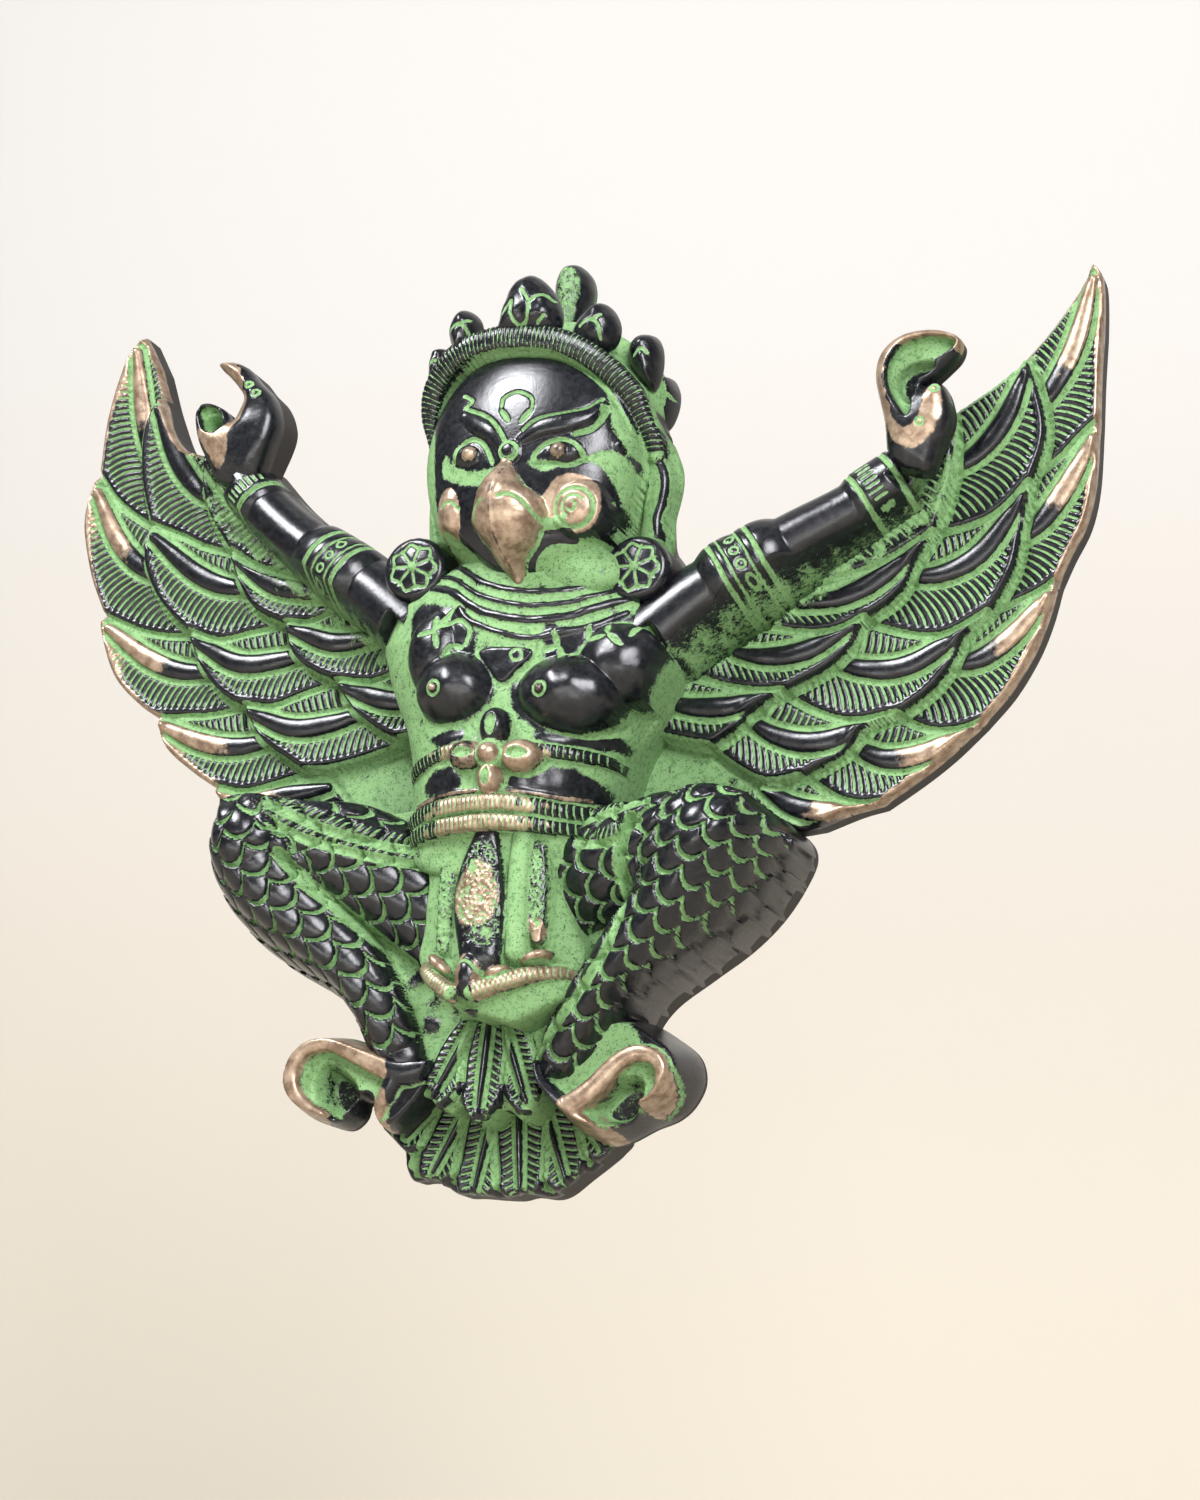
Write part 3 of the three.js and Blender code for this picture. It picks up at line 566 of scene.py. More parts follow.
def feather(surface, upper, free, lower, quill, front, worn, side, rim=1.5, broad=1.9, cut=0.8):
    """One feather: a broad smooth quill between two grooves, cut barbs on both sides of it, a smooth
    lower rim, a groove along the cuts beside it and a rounded free edge."""
    shape = np.vstack([upper, free, lower[::-1]])
    at = surface.window(shape, 2)
    x, z = surface.x[at], surface.z[at]
    inside, _ = within(x, z, shape)
    new = inside > 0
    beside = np.minimum(nearest(x, z, upper)[0], nearest(x, z, lower)[0])
    below = nearest(x, z, lower)[0]
    ahead = nearest(x, z, np.vstack([upper[-1:], free, lower[-1:]]))[0]
    quill = curve(quill, steps=12)
    away, share, turn, _ = nearest(x, z, quill)
    chord = quill[-1] - quill[0]
    chord = chord / np.hypot(*chord)
    along = (x - quill[0][0]) * chord[0] + (z - quill[0][1]) * chord[1]
    lower_side = turn * side < 0
    rise = front + FEATHER_RISE * (share - 1)
    half = broad * (0.25 + 0.75 * np.sin(math.pi * np.clip(0.1 + 0.8 * share, 0, 1)))
    band = smooth(half + 0.25, half - 0.25, away)
    crown = 0.5 * (1 - np.clip(away / half, 0, 1) ** 2)
    lip = np.clip(1 - ahead / LIP, 0, 1)
    height = rise - GROOVE_DEPTH * (1 - smooth(0, 1.5 * GROOVE, beside)) + (0.25 + crown) * band
    height += 0.35 * smooth(2.4, 1.0, ahead) - LIP * (1 - np.sqrt(1 - lip ** 2))
    surface.h[at] = np.where(new, height, surface.h[at])
    surface.barb[at] = np.where(new, 0, surface.barb[at])
    surface.green[at] = np.where(new, smooth(1.1 * GROOVE, 0.8 * GROOVE, beside), surface.green[at])
    surface.brass[at] = np.where(new, worn * smooth(0.25, 0.7, share) * band, surface.brass[at])
    level = np.clip(1 - ((away - half - cut) / cut) ** 2, 0, 1)
    level = level * (away < half + 2 * cut) * (ahead > 0.5 * LIP)
    surface.h[at] -= np.where(new, 0.8 * level, 0)
    surface.green[at] = np.where(new, np.maximum(surface.green[at], 1.4 * level), surface.green[at])
    free_of_quill = away > half + 1.3 * cut
    width = GROOVE + rim * (0.5 + 0.5 * share)
    from_rim = np.minimum(below, RIM_WAY * ahead)
    on_rim = lower_side & (from_rim < width)
    vane = new & free_of_quill & (beside > 0.9 * GROOVE) & (ahead > LIP) & ~on_rim
    ends = 0.55 + 0.45 * smooth(GROOVE, 2.4 * GROOVE, beside) * smooth(half + cut, half + 2.4 * cut, away)
    barbs(surface, at, along, away, 0.8, BARB_CURL, vane & ~lower_side, ends)
    fade = smooth(width, width + 1.6, from_rim)
    barbs(surface, at, along, away, 0.75, BARB_CURL, vane & lower_side, 0.42 + 0.58 * fade * ends)
    raised = new & free_of_quill & (on_rim | (ahead < LIP)) & (beside > 0.8 * GROOVE)
    worn_rim = worn * (0.15 + 0.85 * smooth(0.3, 0.8, share))
    worn_vane = worn * 0.75 * smooth(0.45, 0.95, share) * smooth(7, 3, ahead)
    surface.brass[at] = np.where(raised, worn_rim, surface.brass[at])
    surface.brass[at] = np.where(vane, worn_vane, surface.brass[at])


def quill_between(upper, lower):
    """The quill of a feather between two cuts, starting a little inside its root."""
    quill = []
    for (ax, az), (bx, bz), share in zip(upper, lower, QUILL_SHARES):
        quill.append((ax + (bx - ax) * share, az + (bz - az) * share))
    quill[0] = tuple(np.add(quill[0], 0.12 * np.subtract(quill[1], quill[0])))
    return quill


def bulged(line, amount):
    """A line whose middle stands out to its right by the amount."""
    share = np.sin(math.pi * np.linspace(0, 1, len(line)))[:, None]
    return line - amount * share * normals_of(line)


def feather_row(surface, row, front, worn, side, bulge=0.0):
    """The feathers of a row, over a green groove round the whole row."""
    cuts, edges = row
    parts = []
    for i, edge in enumerate(edges):
        free = bulged(curve([cuts[i][-1], *edge, cuts[i + 1][-1]]), -bulge)[1:-1]
        lines = (curve(cuts[i]), free, curve(cuts[i + 1]))
        parts.append([np.array(mirrored(line.tolist(), side)) for line in lines])
    for upper, free, lower in parts:
        shape = np.vstack([upper, free, lower[::-1]])
        at = surface.window(shape, 2.5)
        inside, _ = within(surface.x[at], surface.z[at], shape)
        surface.h[at] -= 0.6 * smooth(-1.9, -0.6, inside)
        surface.green[at] = np.maximum(surface.green[at], smooth(-1.7, -1.3, inside))
    for i, (upper, free, lower) in enumerate(parts):
        quill = mirrored(quill_between(cuts[i], cuts[i + 1]), side)
        feather(surface, upper, free, lower, quill, front, worn, side)


def wing_outline(plan, side):
    """The edge of a wing: its leading edge, the free edges of its primaries and its root."""
    cuts, edges = plan["primaries"]
    free = [curve([cuts[i][-1], *edge, cuts[i + 1][-1]])[:-1] for i, edge in enumerate(edges)]
    bottom = curve(cuts[-1])[::-1]
    inner = [(28, -8), (19, -6), (19, 8), (22, 16)]
    points = np.vstack([curve(plan["lead"] + cuts[0][1:-1]), *free, bottom, inner])
    return points * np.array([side, 1])


def wing(plan, side):
    """Three rows of feathers over a green ground, with brass along the worn tips."""
    def paint(surface, inside):
        surface.h[:] = RIM - 0.4
        surface.green[:] = 0.7 + 0.12 * ripple(surface.x, surface.z, 6, 18)
        feather_row(surface, plan["primaries"], RIM + FEATHER_RISE, 1.0, side)
        feather_row(surface, plan["secondaries"], RIM + FEATHER_RISE + ROW_RISE, 0.1, side, bulge=0.9)
        feather_row(surface, plan["coverts"], RIM + FEATHER_RISE + 2 * ROW_RISE, 0.0, side, bulge=0.9)
        surface.h += 0.06 * ripple(surface.x, surface.z, 9, 3)
        worn_edge = smooth(1.3, 0.5, inside) * smooth(55, 70, np.abs(surface.x))
        surface.brass = np.maximum(surface.brass, worn_edge)
        surface.green *= 1 - 0.95 * smooth(1.0, 0.5, inside)
        line = curve(ARMS[side])
        gap = nearest(surface.x, surface.z, line)[0] - line[:, 2].min()
        thick = 0.52 * smooth(9, 2, gap) * (1 + 0.35 * ripple(surface.x, surface.z, 5, 8))
        surface.green = np.maximum(surface.green, thick)

    return form(wing_outline(plan, side), paint)


# The body

def torso():
    """The chest with its jewels and the waist with its belt, open behind."""
    outline = curve([(-14, 40), (-21, 36.5), (-28, 34), (-31, 28), (-30, 21), (-27, 13), (-23, 6),
                     (-21.3, 0), (-20.5, -8), (-21, -15), (-14, -22), (0, -24), (14, -22), (21, -15),
                     (20.8, -8), (22, 0), (24, 6), (28, 13), (31, 21), (32, 28), (29, 34), (22, 36.5),
                     (15, 40), (0, 42)], closed=True)
    heights = [-22, -8, 0, 8, 16, 24, 32, 42]
    halves = [21, 20.6, 21.8, 24.5, 28.5, 31.5, 29.5, 17]
    fronts = [33, 36, 36, 34.5, 34, 34, 33.5, 31]
    left_chest = [(-21, 30), (-12, 29.5), (-7.5, 27), (-5.8, 23), (-5.3, 18.8), (-0.8, 12.6), (-2, 9.6),
                  (-5.5, 7), (-11, 6.8), (-15.5, 9.6), (-19, 18.7)]
    right_chest = [(9, 25.6), (15, 24.8), (22, 28), (30, 31), (34, 27), (31, 18.3), (25.3, 11.4), (21.7, 7),
                   (17.9, 4.9), (10.5, 4.9), (5, 7.6), (3.4, 12.6), (6.1, 15), (9.5, 19)]

    def paint(surface, inside):
        x, z = surface.x, surface.z
        half, front = np.interp(z, heights, halves), np.interp(z, heights, fronts)
        left = np.clip(1 - (x / half) ** 2, 0, 1)
        surface.h[:] = 17 + (front - 17) * left ** 0.5
        surface.green[:] = 0.7 + 0.12 * ripple(x, z, 5, 32)
        for chest in (left_chest, right_chest):
            surface.sink(chest, -0.4, soft=3, green=0.0)
        surface.dome((-14.5, 21), (6.5, 9), 29, 35.4)
        surface.dome((22.5, 19), (9, 8.4), 27, 35.4)
        surface.dome((-8.7, 13), (8.9, 7.7), 31, 39.4, power=0.6)
        surface.dome((14, 12.2), (10.6, 7.9), 31, 39.4, power=0.6)
        chest_jewels(surface)
        waist(surface)
        surface.h += 0.1 * ripple(x, z, 6, 31)
        surface.settle(reach=1.4, depth=0.6, strength=0.8)

    return form(outline, paint, foot=0.12, edge=1.5, wall=(0.95, 0.0),
                hollows=[((0, 19), (21, 12), 10, 28), ((0, -3), (16.5, 10.5), 10, 31)])


def chest_jewels(surface):
    """The necklace with its spiked leaves, the pendant between the breasts, and the nipples."""
    necklace = [(-18, 35), (-12.4, 33.1), (-5.6, 28.9), (3, 26.8), (11.2, 27.3), (17.1, 29.6), (23, 32.6)]
    for lift, half in ((0, 0.7), (2.9, 0.4), (5.8, 0.5)):
        surface.ridge([(x, z + lift) for x, z in necklace], half, 0.6)
    surface.ridge([(-10, 29.4), (-7, 26.6), (-0.5, 24.1), (5.8, 23), (11.9, 24.4), (17.8, 26.3),
                   (23, 29.6)], 0.45, 0.5)
    pendant = [(-4.3, 20.3), (1.2, 21), (6.7, 20.2), (4, 16.6), (1.1, 13.9), (-1.8, 16.6)]
    surface.sink(pendant, -0.9, soft=0.8, green=0.0)
    surface.ring((3.6, 19.4), 1.1, 0.3, 0.3)
    leaves = [((-13.8, 24.2), [(-17.6, 23.4), (-12.9, 20.8), (-14.4, 27.6), (-11.2, 29.8)]),
              ((-10.6, 21.8), [(-11.8, 18.6), (-7.8, 21)]),
              ((11.6, 21.5), [(8.2, 20.6), (12.8, 18.4), (10.2, 24.8)]),
              ((17, 22.6), [(14.4, 18.9), (21.2, 23.2), (16.8, 26.2)]),
              ((21.6, 23.8), [(25, 21), (20.4, 26.4)]),
              ((26.6, 26.4), [(26, 23), (28, 28.6)])]
    for middle, tips in leaves:
        for tip in tips:
            surface.groove([middle, tip], 0.62, 0.4, pointed=True)
    surface.groove([(-12.4, 25.6), (-9.6, 26.8), (-7, 24.8), (-7.4, 21.8)], 0.5, 0.4)
    for middle in ((-11.2, 11.8), (10.6, 11.6)):
        surface.dome(middle, (0.9, 0.9), 39, 39.9, brass=0.4)
        surface.ring(middle, 1.35, 0.3, 0.35)


def petal(surface, middle, turn, reach, brass):
    """A drop of the buckle, with a green drop in it."""
    size = (0.44 * reach, 0.34 * reach)
    surface.dome(polar(middle, 0.62 * reach, turn), size, 37, 40, turn=turn, power=0.6, brass=brass)
    drop = [polar(middle, share * reach, turn) for share in (0.4, 0.6, 0.86)]
    surface.groove(drop, 0.13 * reach, 0.9, pointed=True)


def waist(surface):
    """The thin band, the buckle, the belt with its two ribbed rows, and the dark fields round them."""
    x, z = surface.x, surface.z
    fields = [[(-13, 3), (-8.7, 4.2), (-5.4, 3.4), (-9, 1.6)],
              [(9.2, 3.6), (14.6, 4.4), (20.5, 5.6), (22.6, 4.3), (18.8, 2.4), (12, 2.2)],
              [(-13.4, -6.7), (-11.3, -3.8), (-7.2, -3.5), (-5, -5.4), (-6.1, -7.8), (-9.5, -8.3)],
              [(5.1, -6.6), (7.9, -3.1), (12.5, -2.4), (18.4, -3.3), (20.4, -5.6), (19.4, -7.4),
               (12, -7.4)]]
    for field in fields:
        surface.sink(field, -0.5, soft=3, green=0.0)
    surface.tube([(-21, -3.6, 1.1, 22.5), (-16.5, -2.2, 1.2, 31), (-8.1, 0.2, 1.3, 36),
                  (1.7, 0.4, 1.3, 37.6), (9.5, 0.5, 1.3, 36.6), (16.3, 0.5, 1.2, 32.6),
                  (20.6, 0.6, 1.1, 27), (22, 0.6, 0.9, 22)], roundness=0.6, ribs=42, rib_depth=0.3,
                 line=0.55)
    upper = [(-19.5, -13.6, 1.4, 24.5), (-16.2, -12.4, 1.6, 30.4), (-9.6, -11.3, 1.7, 35.6),
             (-2.9, -10.6, 1.7, 37.9), (3.2, -10.3, 1.7, 38.3), (8.5, -10.4, 1.7, 37.2),
             (14.4, -10.6, 1.6, 32.8), (18.4, -10, 1.4, 27), (20.6, -9.6, 1.1, 21)]
    lower = [(-19.4, -16.9, 1.2, 23.5), (-16.3, -15.6, 1.5, 29.8), (-9.8, -14.8, 1.6, 35),
             (-3.2, -14.2, 1.6, 37.4), (3.6, -13.8, 1.6, 37.8), (10, -13.7, 1.6, 36),
             (14.6, -13.6, 1.5, 32.4), (18, -13.2, 1.2, 27), (20, -12.8, 1, 21)]
    for stations, count in ((upper, 40), (lower, 38)):
        surface.tube(stations, roundness=0.6, ribs=count, rib_depth=0.3, line=0.6)
        worn = smooth(14, 6, np.abs(x) + 3 * ripple(x, z, 3, 41)) * (surface.barb > 0)
        surface.brass = np.maximum(surface.brass, 0.85 * worn)
    surface.groove([(x, z - 1.8) for x, z, _, _ in upper[1:-1]], 0.35, 0.5)
    surface.ridge([(x, z + 2.6) for x, z, _, _ in upper[1:-1]], 0.4, 0.5, brass=0.5)
    middle = (1.7, -1.1)
    for turn, reach, brass in ((0, 9.2, 0.75), (0.5, 8.8, 0.1), (1, 8.4, 0.45), (1.5, 7.2, 1.0)):
        petal(surface, middle, turn * math.pi, reach, brass)
    surface.dome(middle, (2.9, 2.9), 38.4, 39.4, power=0.3, green=1.0)
    surface.dome(middle, (2.2, 2.0), 39, 41, brass=0.8)


def loincloth():
    """Two textured folds on smooth green cloth, over a hem that meets in a knot."""
    outline = curve([(-13, -13), (-13, -24), (-12.8, -33), (-13.6, -38.6), (-10.5, -42.6), (-5.4, -47),
                     (-0.6, -50), (3, -50), (7.8, -51.1), (12.2, -48.7), (19.6, -42.4), (19.6, -37),
                     (16.6, -29.5), (14.2, -21.9), (13.6, -13)], closed=True)
    brass_part = [(-0.5, -21.8), (2.9, -22.4), (5, -27.2), (4.4, -32.4), (0.7, -34), (-2.2, -32),
                  (-3, -27.2)]

    def paint(surface, inside):
        x, z = surface.x, surface.z
        left = np.clip(1 - ((x - 1.5) / 20) ** 2, 0, 1)
        surface.h[:] = 20 + 12.5 * left ** 0.7 + 0.12 * ripple(x, z, 7, 12)
        surface.green[:] = 0.74 + 0.12 * ripple(x, z, 4, 17)
        surface.tube([(8, -15, 2.2, 34.6), (8.4, -27, 2.2, 35.2), (9.2, -38, 2.2, 35.4)], green=1.0)
        surface.tube([(1.2, -15.5, 2.4, 35.6), (0.9, -24, 4.6, 37), (1.4, -31, 5.1, 37.4),
                      (2.6, -39, 4.2, 37.4)], roundness=0.6, green=0.28)
        surface.tube([(11.2, -18, 1.6, 33.4), (11.8, -25, 2.2, 34), (12.2, -31, 2, 34),
                      (12.8, -35.6, 1, 33.6)], roundness=0.6, green=0.42)
        surface.tube([(-7.4, -16, 1.6, 32), (-6.9, -26, 1.8, 32.6), (-6.4, -37.5, 1.4, 33)], roundness=0.6,
                     green=0.46)
        surface.sink(brass_part, 0, soft=3.6, green=0.0, brass=1.0)
        surface.sink([(11, -32), (13.6, -32), (13.6, -35.6), (12, -35.4)], 0, soft=1.2, green=0.0,
                     brass=1.0)
        nets = [([(-1.2, -18), (3.4, -18), (5.6, -27), (6.4, -37), (0, -37), (-3.6, -28)], 1.15, 0.62),
                ([(9.6, -19), (12.4, -19), (14, -29), (13, -35), (10.4, -30)], 1.1, 0.85),
                ([(-9, -17), (-5.6, -17), (-5, -28), (-5, -38), (-7.8, -38), (-8.8, -28)], 1.0, 1.1)]
        for field, size, green in nets:
            surface.crackle(field, size, 0.45, green)
        hem(surface)
        surface.settle(reach=1.4, depth=0.6, strength=0.8)

    return form(outline, paint, foot=16, cell=FINE, edge=1.0, wall=(0.7, 0.0))


def hem(surface):
    """The ribbed hem of the loincloth with its folds and its knot."""
    folds = [((-5.9, -41.2), (2.9, 1.2), 34, 36, -0.7, 0.8),
             ((6, -42.4), (2.7, 1.3), 34, 37, 0.4, 0.8),
             ((12.6, -38.9), (3, 1.2), 32, 35, 0.4, 0.9)]
    for middle, size, side, front, turn, brass in folds:
        surface.dome(middle, size, side, front, turn=turn, brass=brass)
    surface.dome((1.1, -43.2), (2.8, 4.6), 35.4, 38.8, brass=1.0)
    surface.tube([(-13, -39, 1.0, 25), (-9.8, -41.8, 1.5, 33.4), (-6.2, -44.4, 1.6, 37),
                  (-2.2, -46.8, 1.6, 38.6)], roundness=0.7, ribs=15, rib_depth=0.35, line=0.6, brass=0.9)
    surface.tube([(2.4, -46.4, 1.6, 38.8), (7.6, -44, 1.6, 36.8), (12.2, -42, 1.4, 34),
                  (16.4, -40.9, 1.1, 29.5), (19.4, -41, 0.7, 24)], roundness=0.7, ribs=19, rib_depth=0.35,
                 line=0.6, brass=0.9)
    surface.sink([(0.6, -39.6), (2.6, -39.6), (2.4, -45), (0.2, -45.4)], 0, soft=2.2, green=0.0, brass=0.0)
    surface.sink([(-1, -46), (3, -46), (1.6, -50), (-0.8, -49.4)], 0.3, soft=1.4, green=0.2, brass=0.0)
    surface.groove([(-9.6, -39.4), (-6, -42.4), (-3, -43), (1, -40.8), (5.4, -43.8), (11, -40.4),
                    (17.4, -38.8)], 0.35, 0.5)


# The head

def head():
    """The head with the crown's band, the bird's face and the straps beside it."""
    outline = curve([(-13, 33), (-19, 38), (-22.5, 44), (-23.6, 51), (-23.4, 58), (-23.6, 65), (-25, 71),
                     (-24.6, 77), (-21.5, 83), (-15, 88.5), (-7, 92), (0, 93), (8, 92), (15, 88.5),
                     (21.5, 83.5), (25.2, 77), (24.6, 71), (27, 66), (28.8, 61.5), (29, 57), (28.1, 51.5),
                     (27.8, 46), (24, 38), (17, 33), (2, 30)], closed=True)

    def paint(surface, inside):
        surface.h[:] = 19
        surface.green[:] = 1.0
        surface.dome((0, 74), (25.5, 19), 19, 30, power=0.3, green=1.0)
        surface.dome((0.5, 60.5), (22.4, 25.6), 24, 39.4, power=0.3)
        surface.sink([(5, 42), (9, 44), (16, 43.6), (21.6, 44), (24, 38), (20, 31), (4, 31), (2, 36)], 0)
        surface.dome((11.4, 37.4), (10.4, 6.4), 27, 32.4, power=0.6, green=0.64)
        side_ornaments(surface)
        crown_band(surface)
        patina_on_face(surface)
        brows(surface)
        eyes(surface)
        cheeks(surface)
        beak(surface)
        surface.settle(reach=0.9, depth=0.8, strength=0.8)

    return form(outline, paint, foot=0.05, cell=FINE, edge=1.6, move=draw_in, wall=(0.35, 0.0), rings=12,
                hollows=[((0, 59), (15, 15), 12, 32)])


def crown_band(surface):
    """The ribbed band round the forehead, between two green grooves."""
    stations = [(-24, 64, 2.2, 26), (-23.2, 71, 2.3, 29.5), (-20.4, 77.4, 2.5, 33.4),
                (-14.6, 81.6, 2.5, 37), (-7, 83.2, 2.6, 39), (0, 83.2, 2.6, 39.6), (8, 82, 2.6, 39.2),
                (15, 78.6, 2.5, 37), (20.4, 73.8, 2.4, 33.4), (23.8, 67.4, 2.2, 29.5), (24.6, 63, 2.0, 26)]
    surface.tube(stations, roundness=0.55, ribs=76, line=0.5)
    inner = [(-21.2, 64), (-20.6, 70.4), (-17.8, 75.6), (-13, 79), (-6.6, 80.4), (0, 80.4), (7, 79.4),
             (13.2, 76.2), (17.8, 71.8), (21, 66)]
    surface.groove(inner, 0.5, 0.8)
    outer = [(-24.6, 76), (-17.8, 84.4), (-8, 86.4), (0, 86.4), (9, 85.2), (17.8, 81.4), (23.6, 75),
             (26, 68)]
    surface.groove(outer, 0.7, 0.6)


def patina_on_face(surface):
    """Green that has gathered at the temple, under the eyes and beside the cheek, in ragged patches."""
    zones = [[(17.4, 71.4), (20.2, 68.4), (22.8, 64.4), (23.8, 60.5), (22.2, 60), (20.4, 62.6), (18.8, 65),
              (18, 68.6)],
             [(3.6, 57), (5.4, 55.4), (8.2, 55), (10.8, 56.4), (14.6, 57.2), (17.6, 56.4), (19.8, 53.4),
              (20.8, 49), (20.2, 44.6), (23, 43.6), (24, 51), (23.4, 56), (21.4, 59.6), (18, 60.2),
              (13.8, 57.9), (8, 57.4)],
             [(-3, 56), (-8, 55.6), (-12.8, 57.4), (-14.6, 60), (-15.4, 56), (-12.8, 53.8), (-8, 52.6),
              (-5.4, 52.8), (-3.6, 54)],
             [(-15.4, 44), (-16.6, 50), (-17.4, 58), (-19, 66), (-22, 66), (-22, 44)]]
    for zone in zones:
        surface.sink(zone, 0.25, soft=2.6, green=0.86)


def brows(surface):
    """The brows with the lines over them, and the mark on the forehead."""
    surface.tube([(2.2, 61.4, 1.2, 39.8), (6, 63.6, 1.7, 40.4), (10.5, 64.8, 1.8, 39.8),
                  (14.5, 66.6, 1.4, 38.2), (16.6, 69.2, 0.7, 36.4)], roundness=0.5)
    surface.tube([(-1.4, 59.6, 1.1, 40), (-4.4, 63, 1.6, 40.4), (-8, 65.2, 1.6, 39.4),
                  (-11, 67.2, 1.1, 38)], roundness=0.5)
    lines = [([(2.4, 63.4), (4.8, 65.6), (10.2, 67), (14.2, 68.3), (16.4, 70.6)], 0.42, 0.5),
             ([(-12, 72), (-9.8, 70.4), (-11, 69), (-6.5, 67), (-3.5, 64.6), (-1.1, 61)], 0.42, 0.5),
             ([(12.6, 62.8), (15.4, 64), (17, 66.4), (17.4, 69)], 0.6, 0.6),
             ([(-3, 68.6), (-2.7, 70.5), (0, 71.7), (2.9, 70.4), (3.6, 68.5)], 0.34, 0.5)]
    for line, half, depth in lines:
        surface.groove(line, half, depth)
    for line in ([(-3.2, 68.1), (-0.8, 65.2)], [(3.7, 68.1), (1.4, 64.9)]):
        surface.groove(line, 0.6, 0.5, pointed=True)
    knot = (0, 58.9)
    surface.dome(knot, (2.3, 2.3), 39.6, 41, power=0.4)
    surface.ring(knot, 1.7, 0.42, 0.6)


def eyes(surface):
    """The eyes, each under its lid."""
    right_lid = [(5, 56.4), (5.2, 58.4), (7.4, 60.6), (10.4, 61.5), (13.4, 60.2), (14.8, 57.8)]
    left_lid = [(-12.4, 57.6), (-11.2, 60.4), (-9, 62), (-6.6, 61.4), (-4.8, 59.4), (-3.6, 57)]
    for middle, turn, lid in (((10, 59), 0.2, right_lid), ((-8.5, 58.8), -0.2, left_lid)):
        surface.dome(middle, (4.4, 2.5), 37.6, 39.3, turn=turn)
        surface.groove(lid, 0.5, 0.6)
        surface.dome(middle, (1.7, 1.6), 38.8, 40.6, brass=0.5)
    surface.groove([(5, 56.4), (8.4, 56.6), (12, 56.4), (14.8, 57.8)], 0.5, 0.5)


def cheeks(surface):
    """The right cheek with its spiral, the left one, and the lines under the right one."""
    surface.dome((13.4, 49), (6.4, 6.2), 34.5, 38.6, power=0.6)
    surface.sink([(3.6, 46.6), (7.4, 50.3), (10, 54), (14.6, 54.6), (18, 52), (18.6, 47.6), (16.4, 44),
                  (12, 43.2), (6.4, 43.6)], 0, soft=1.6, green=0.0, brass=1.0)
    surface.ring((13.7, 48), 3.8, 0.45, 0.6)
    surface.ring((13.7, 48), 2.2, 0.3, 0.4, start=0.1, turns=0.55)
    surface.ring((13.4, 48), 0.9, 0.3, 0.4, start=0.6, turns=0.6)
    surface.dome((-12.3, 49.6), (3.9, 7.4), 33, 37.4, turn=-0.06, brass=1.0)
    surface.groove([(-14.4, 48.8), (-12.6, 49.8), (-10.6, 48.4)], 0.35, 0.4)
    surface.ridge([(12.6, 43), (8.4, 42.4), (5.6, 40.4), (4, 37.8), (3.4, 34.6)], 1.1, 0.2)
    surface.ridge([(11.5, 45.1), (7.4, 44.6), (3.9, 42.2), (2.1, 39.8), (1.6, 36.6)], 1.0, 0.9, green=1.0)


def beak(surface):
    """The beak over the dark throat, with its ridge and nostrils."""
    surface.sink([(-14.8, 44.4), (-11.9, 43.4), (-8, 40.2), (-4.1, 36.6), (-0.8, 32.5), (-5.7, 31),
                  (-11.5, 32.6), (-15, 38.2)], 3.5, soft=2.4)
    stations = [(-0.6, 56.6, 1.2, 40.4), (-0.6, 54, 2.8, 42.6), (-0.5, 50.4, 5.2, 44.5),
                (0.6, 46.2, 7.6, 44.6), (1.0, 42, 5.6, 42.8), (1.0, 38.6, 3.1, 38.8), (1.8, 35, 1.1, 33.6)]
    surface.tube(stations, roundness=0.95, brass=1.0)
    surface.ridge([(0.2, 54.6), (-0.9, 49.6), (-1, 45), (-0.2, 40), (1.4, 36)], 0.3, 0.2, brass=0.42)
    surface.groove([(0.6, 48.2), (2.3, 48.7), (4.8, 47.8), (7.6, 44.8)], 0.42, 0.5)
    surface.groove([(-5.3, 44.4), (-4.7, 46.6), (-3.2, 47.8)], 0.4, 0.5)


def side_ornaments(surface):
    """The straps that hang beside the face: the right one with two dark lines round it, the left one with
    one down its middle.
    """
    surface.tube([(23.6, 63.4, 2.2, 24), (25.4, 58, 2.8, 24.4), (25, 52, 2.6, 24), (24.4, 46, 2.4, 24)],
                 roundness=0.7, green=1.0)
    surface.ridge([(20.8, 62.6), (23.1, 63.2), (25.7, 60.9), (26.9, 57.4), (26.6, 53.3), (25.8, 49.9),
                   (26.4, 46.6)], 0.75, 0.5)
    surface.ridge([(20.4, 61.6), (21.8, 60), (22.9, 57), (22.6, 53.6), (21.3, 50.2), (21.1, 46.4)], 0.7,
                  0.5)
    surface.tube([(-21.4, 64, 1.8, 24), (-21.6, 55, 2, 24), (-20.6, 46, 2, 24)], roundness=0.7, green=1.0)
    surface.ridge([(-21.6, 64), (-21.9, 57), (-21.5, 50), (-20.4, 46)], 0.6, 0.5)


def crown_leaf(outline, front, thickness, arcs, green=0.0):
    """A leaf of the crown: a smooth pointed form with thin arcs cut into it."""
    shape = curve(outline, closed=True)
    middle = shape.mean(0)

    def paint(surface, inside):
        reach = inside.max()
        surface.h[:] = front - 3.4 * (1 - np.clip(inside / reach, 0, 1)) ** 2
        surface.h += 0.12 * ripple(surface.x, surface.z, 4, 11)
        surface.green[:] = green * smooth(0.9, 1.9, inside)
        for arc in arcs:
            surface.groove([(middle[0] + x, middle[1] + z) for x, z in arc], 0.34, 0.4)

    return form(shape, paint, foot=front - thickness, cell=FINE, edge=2.0, wall=(0.5, 0.0))


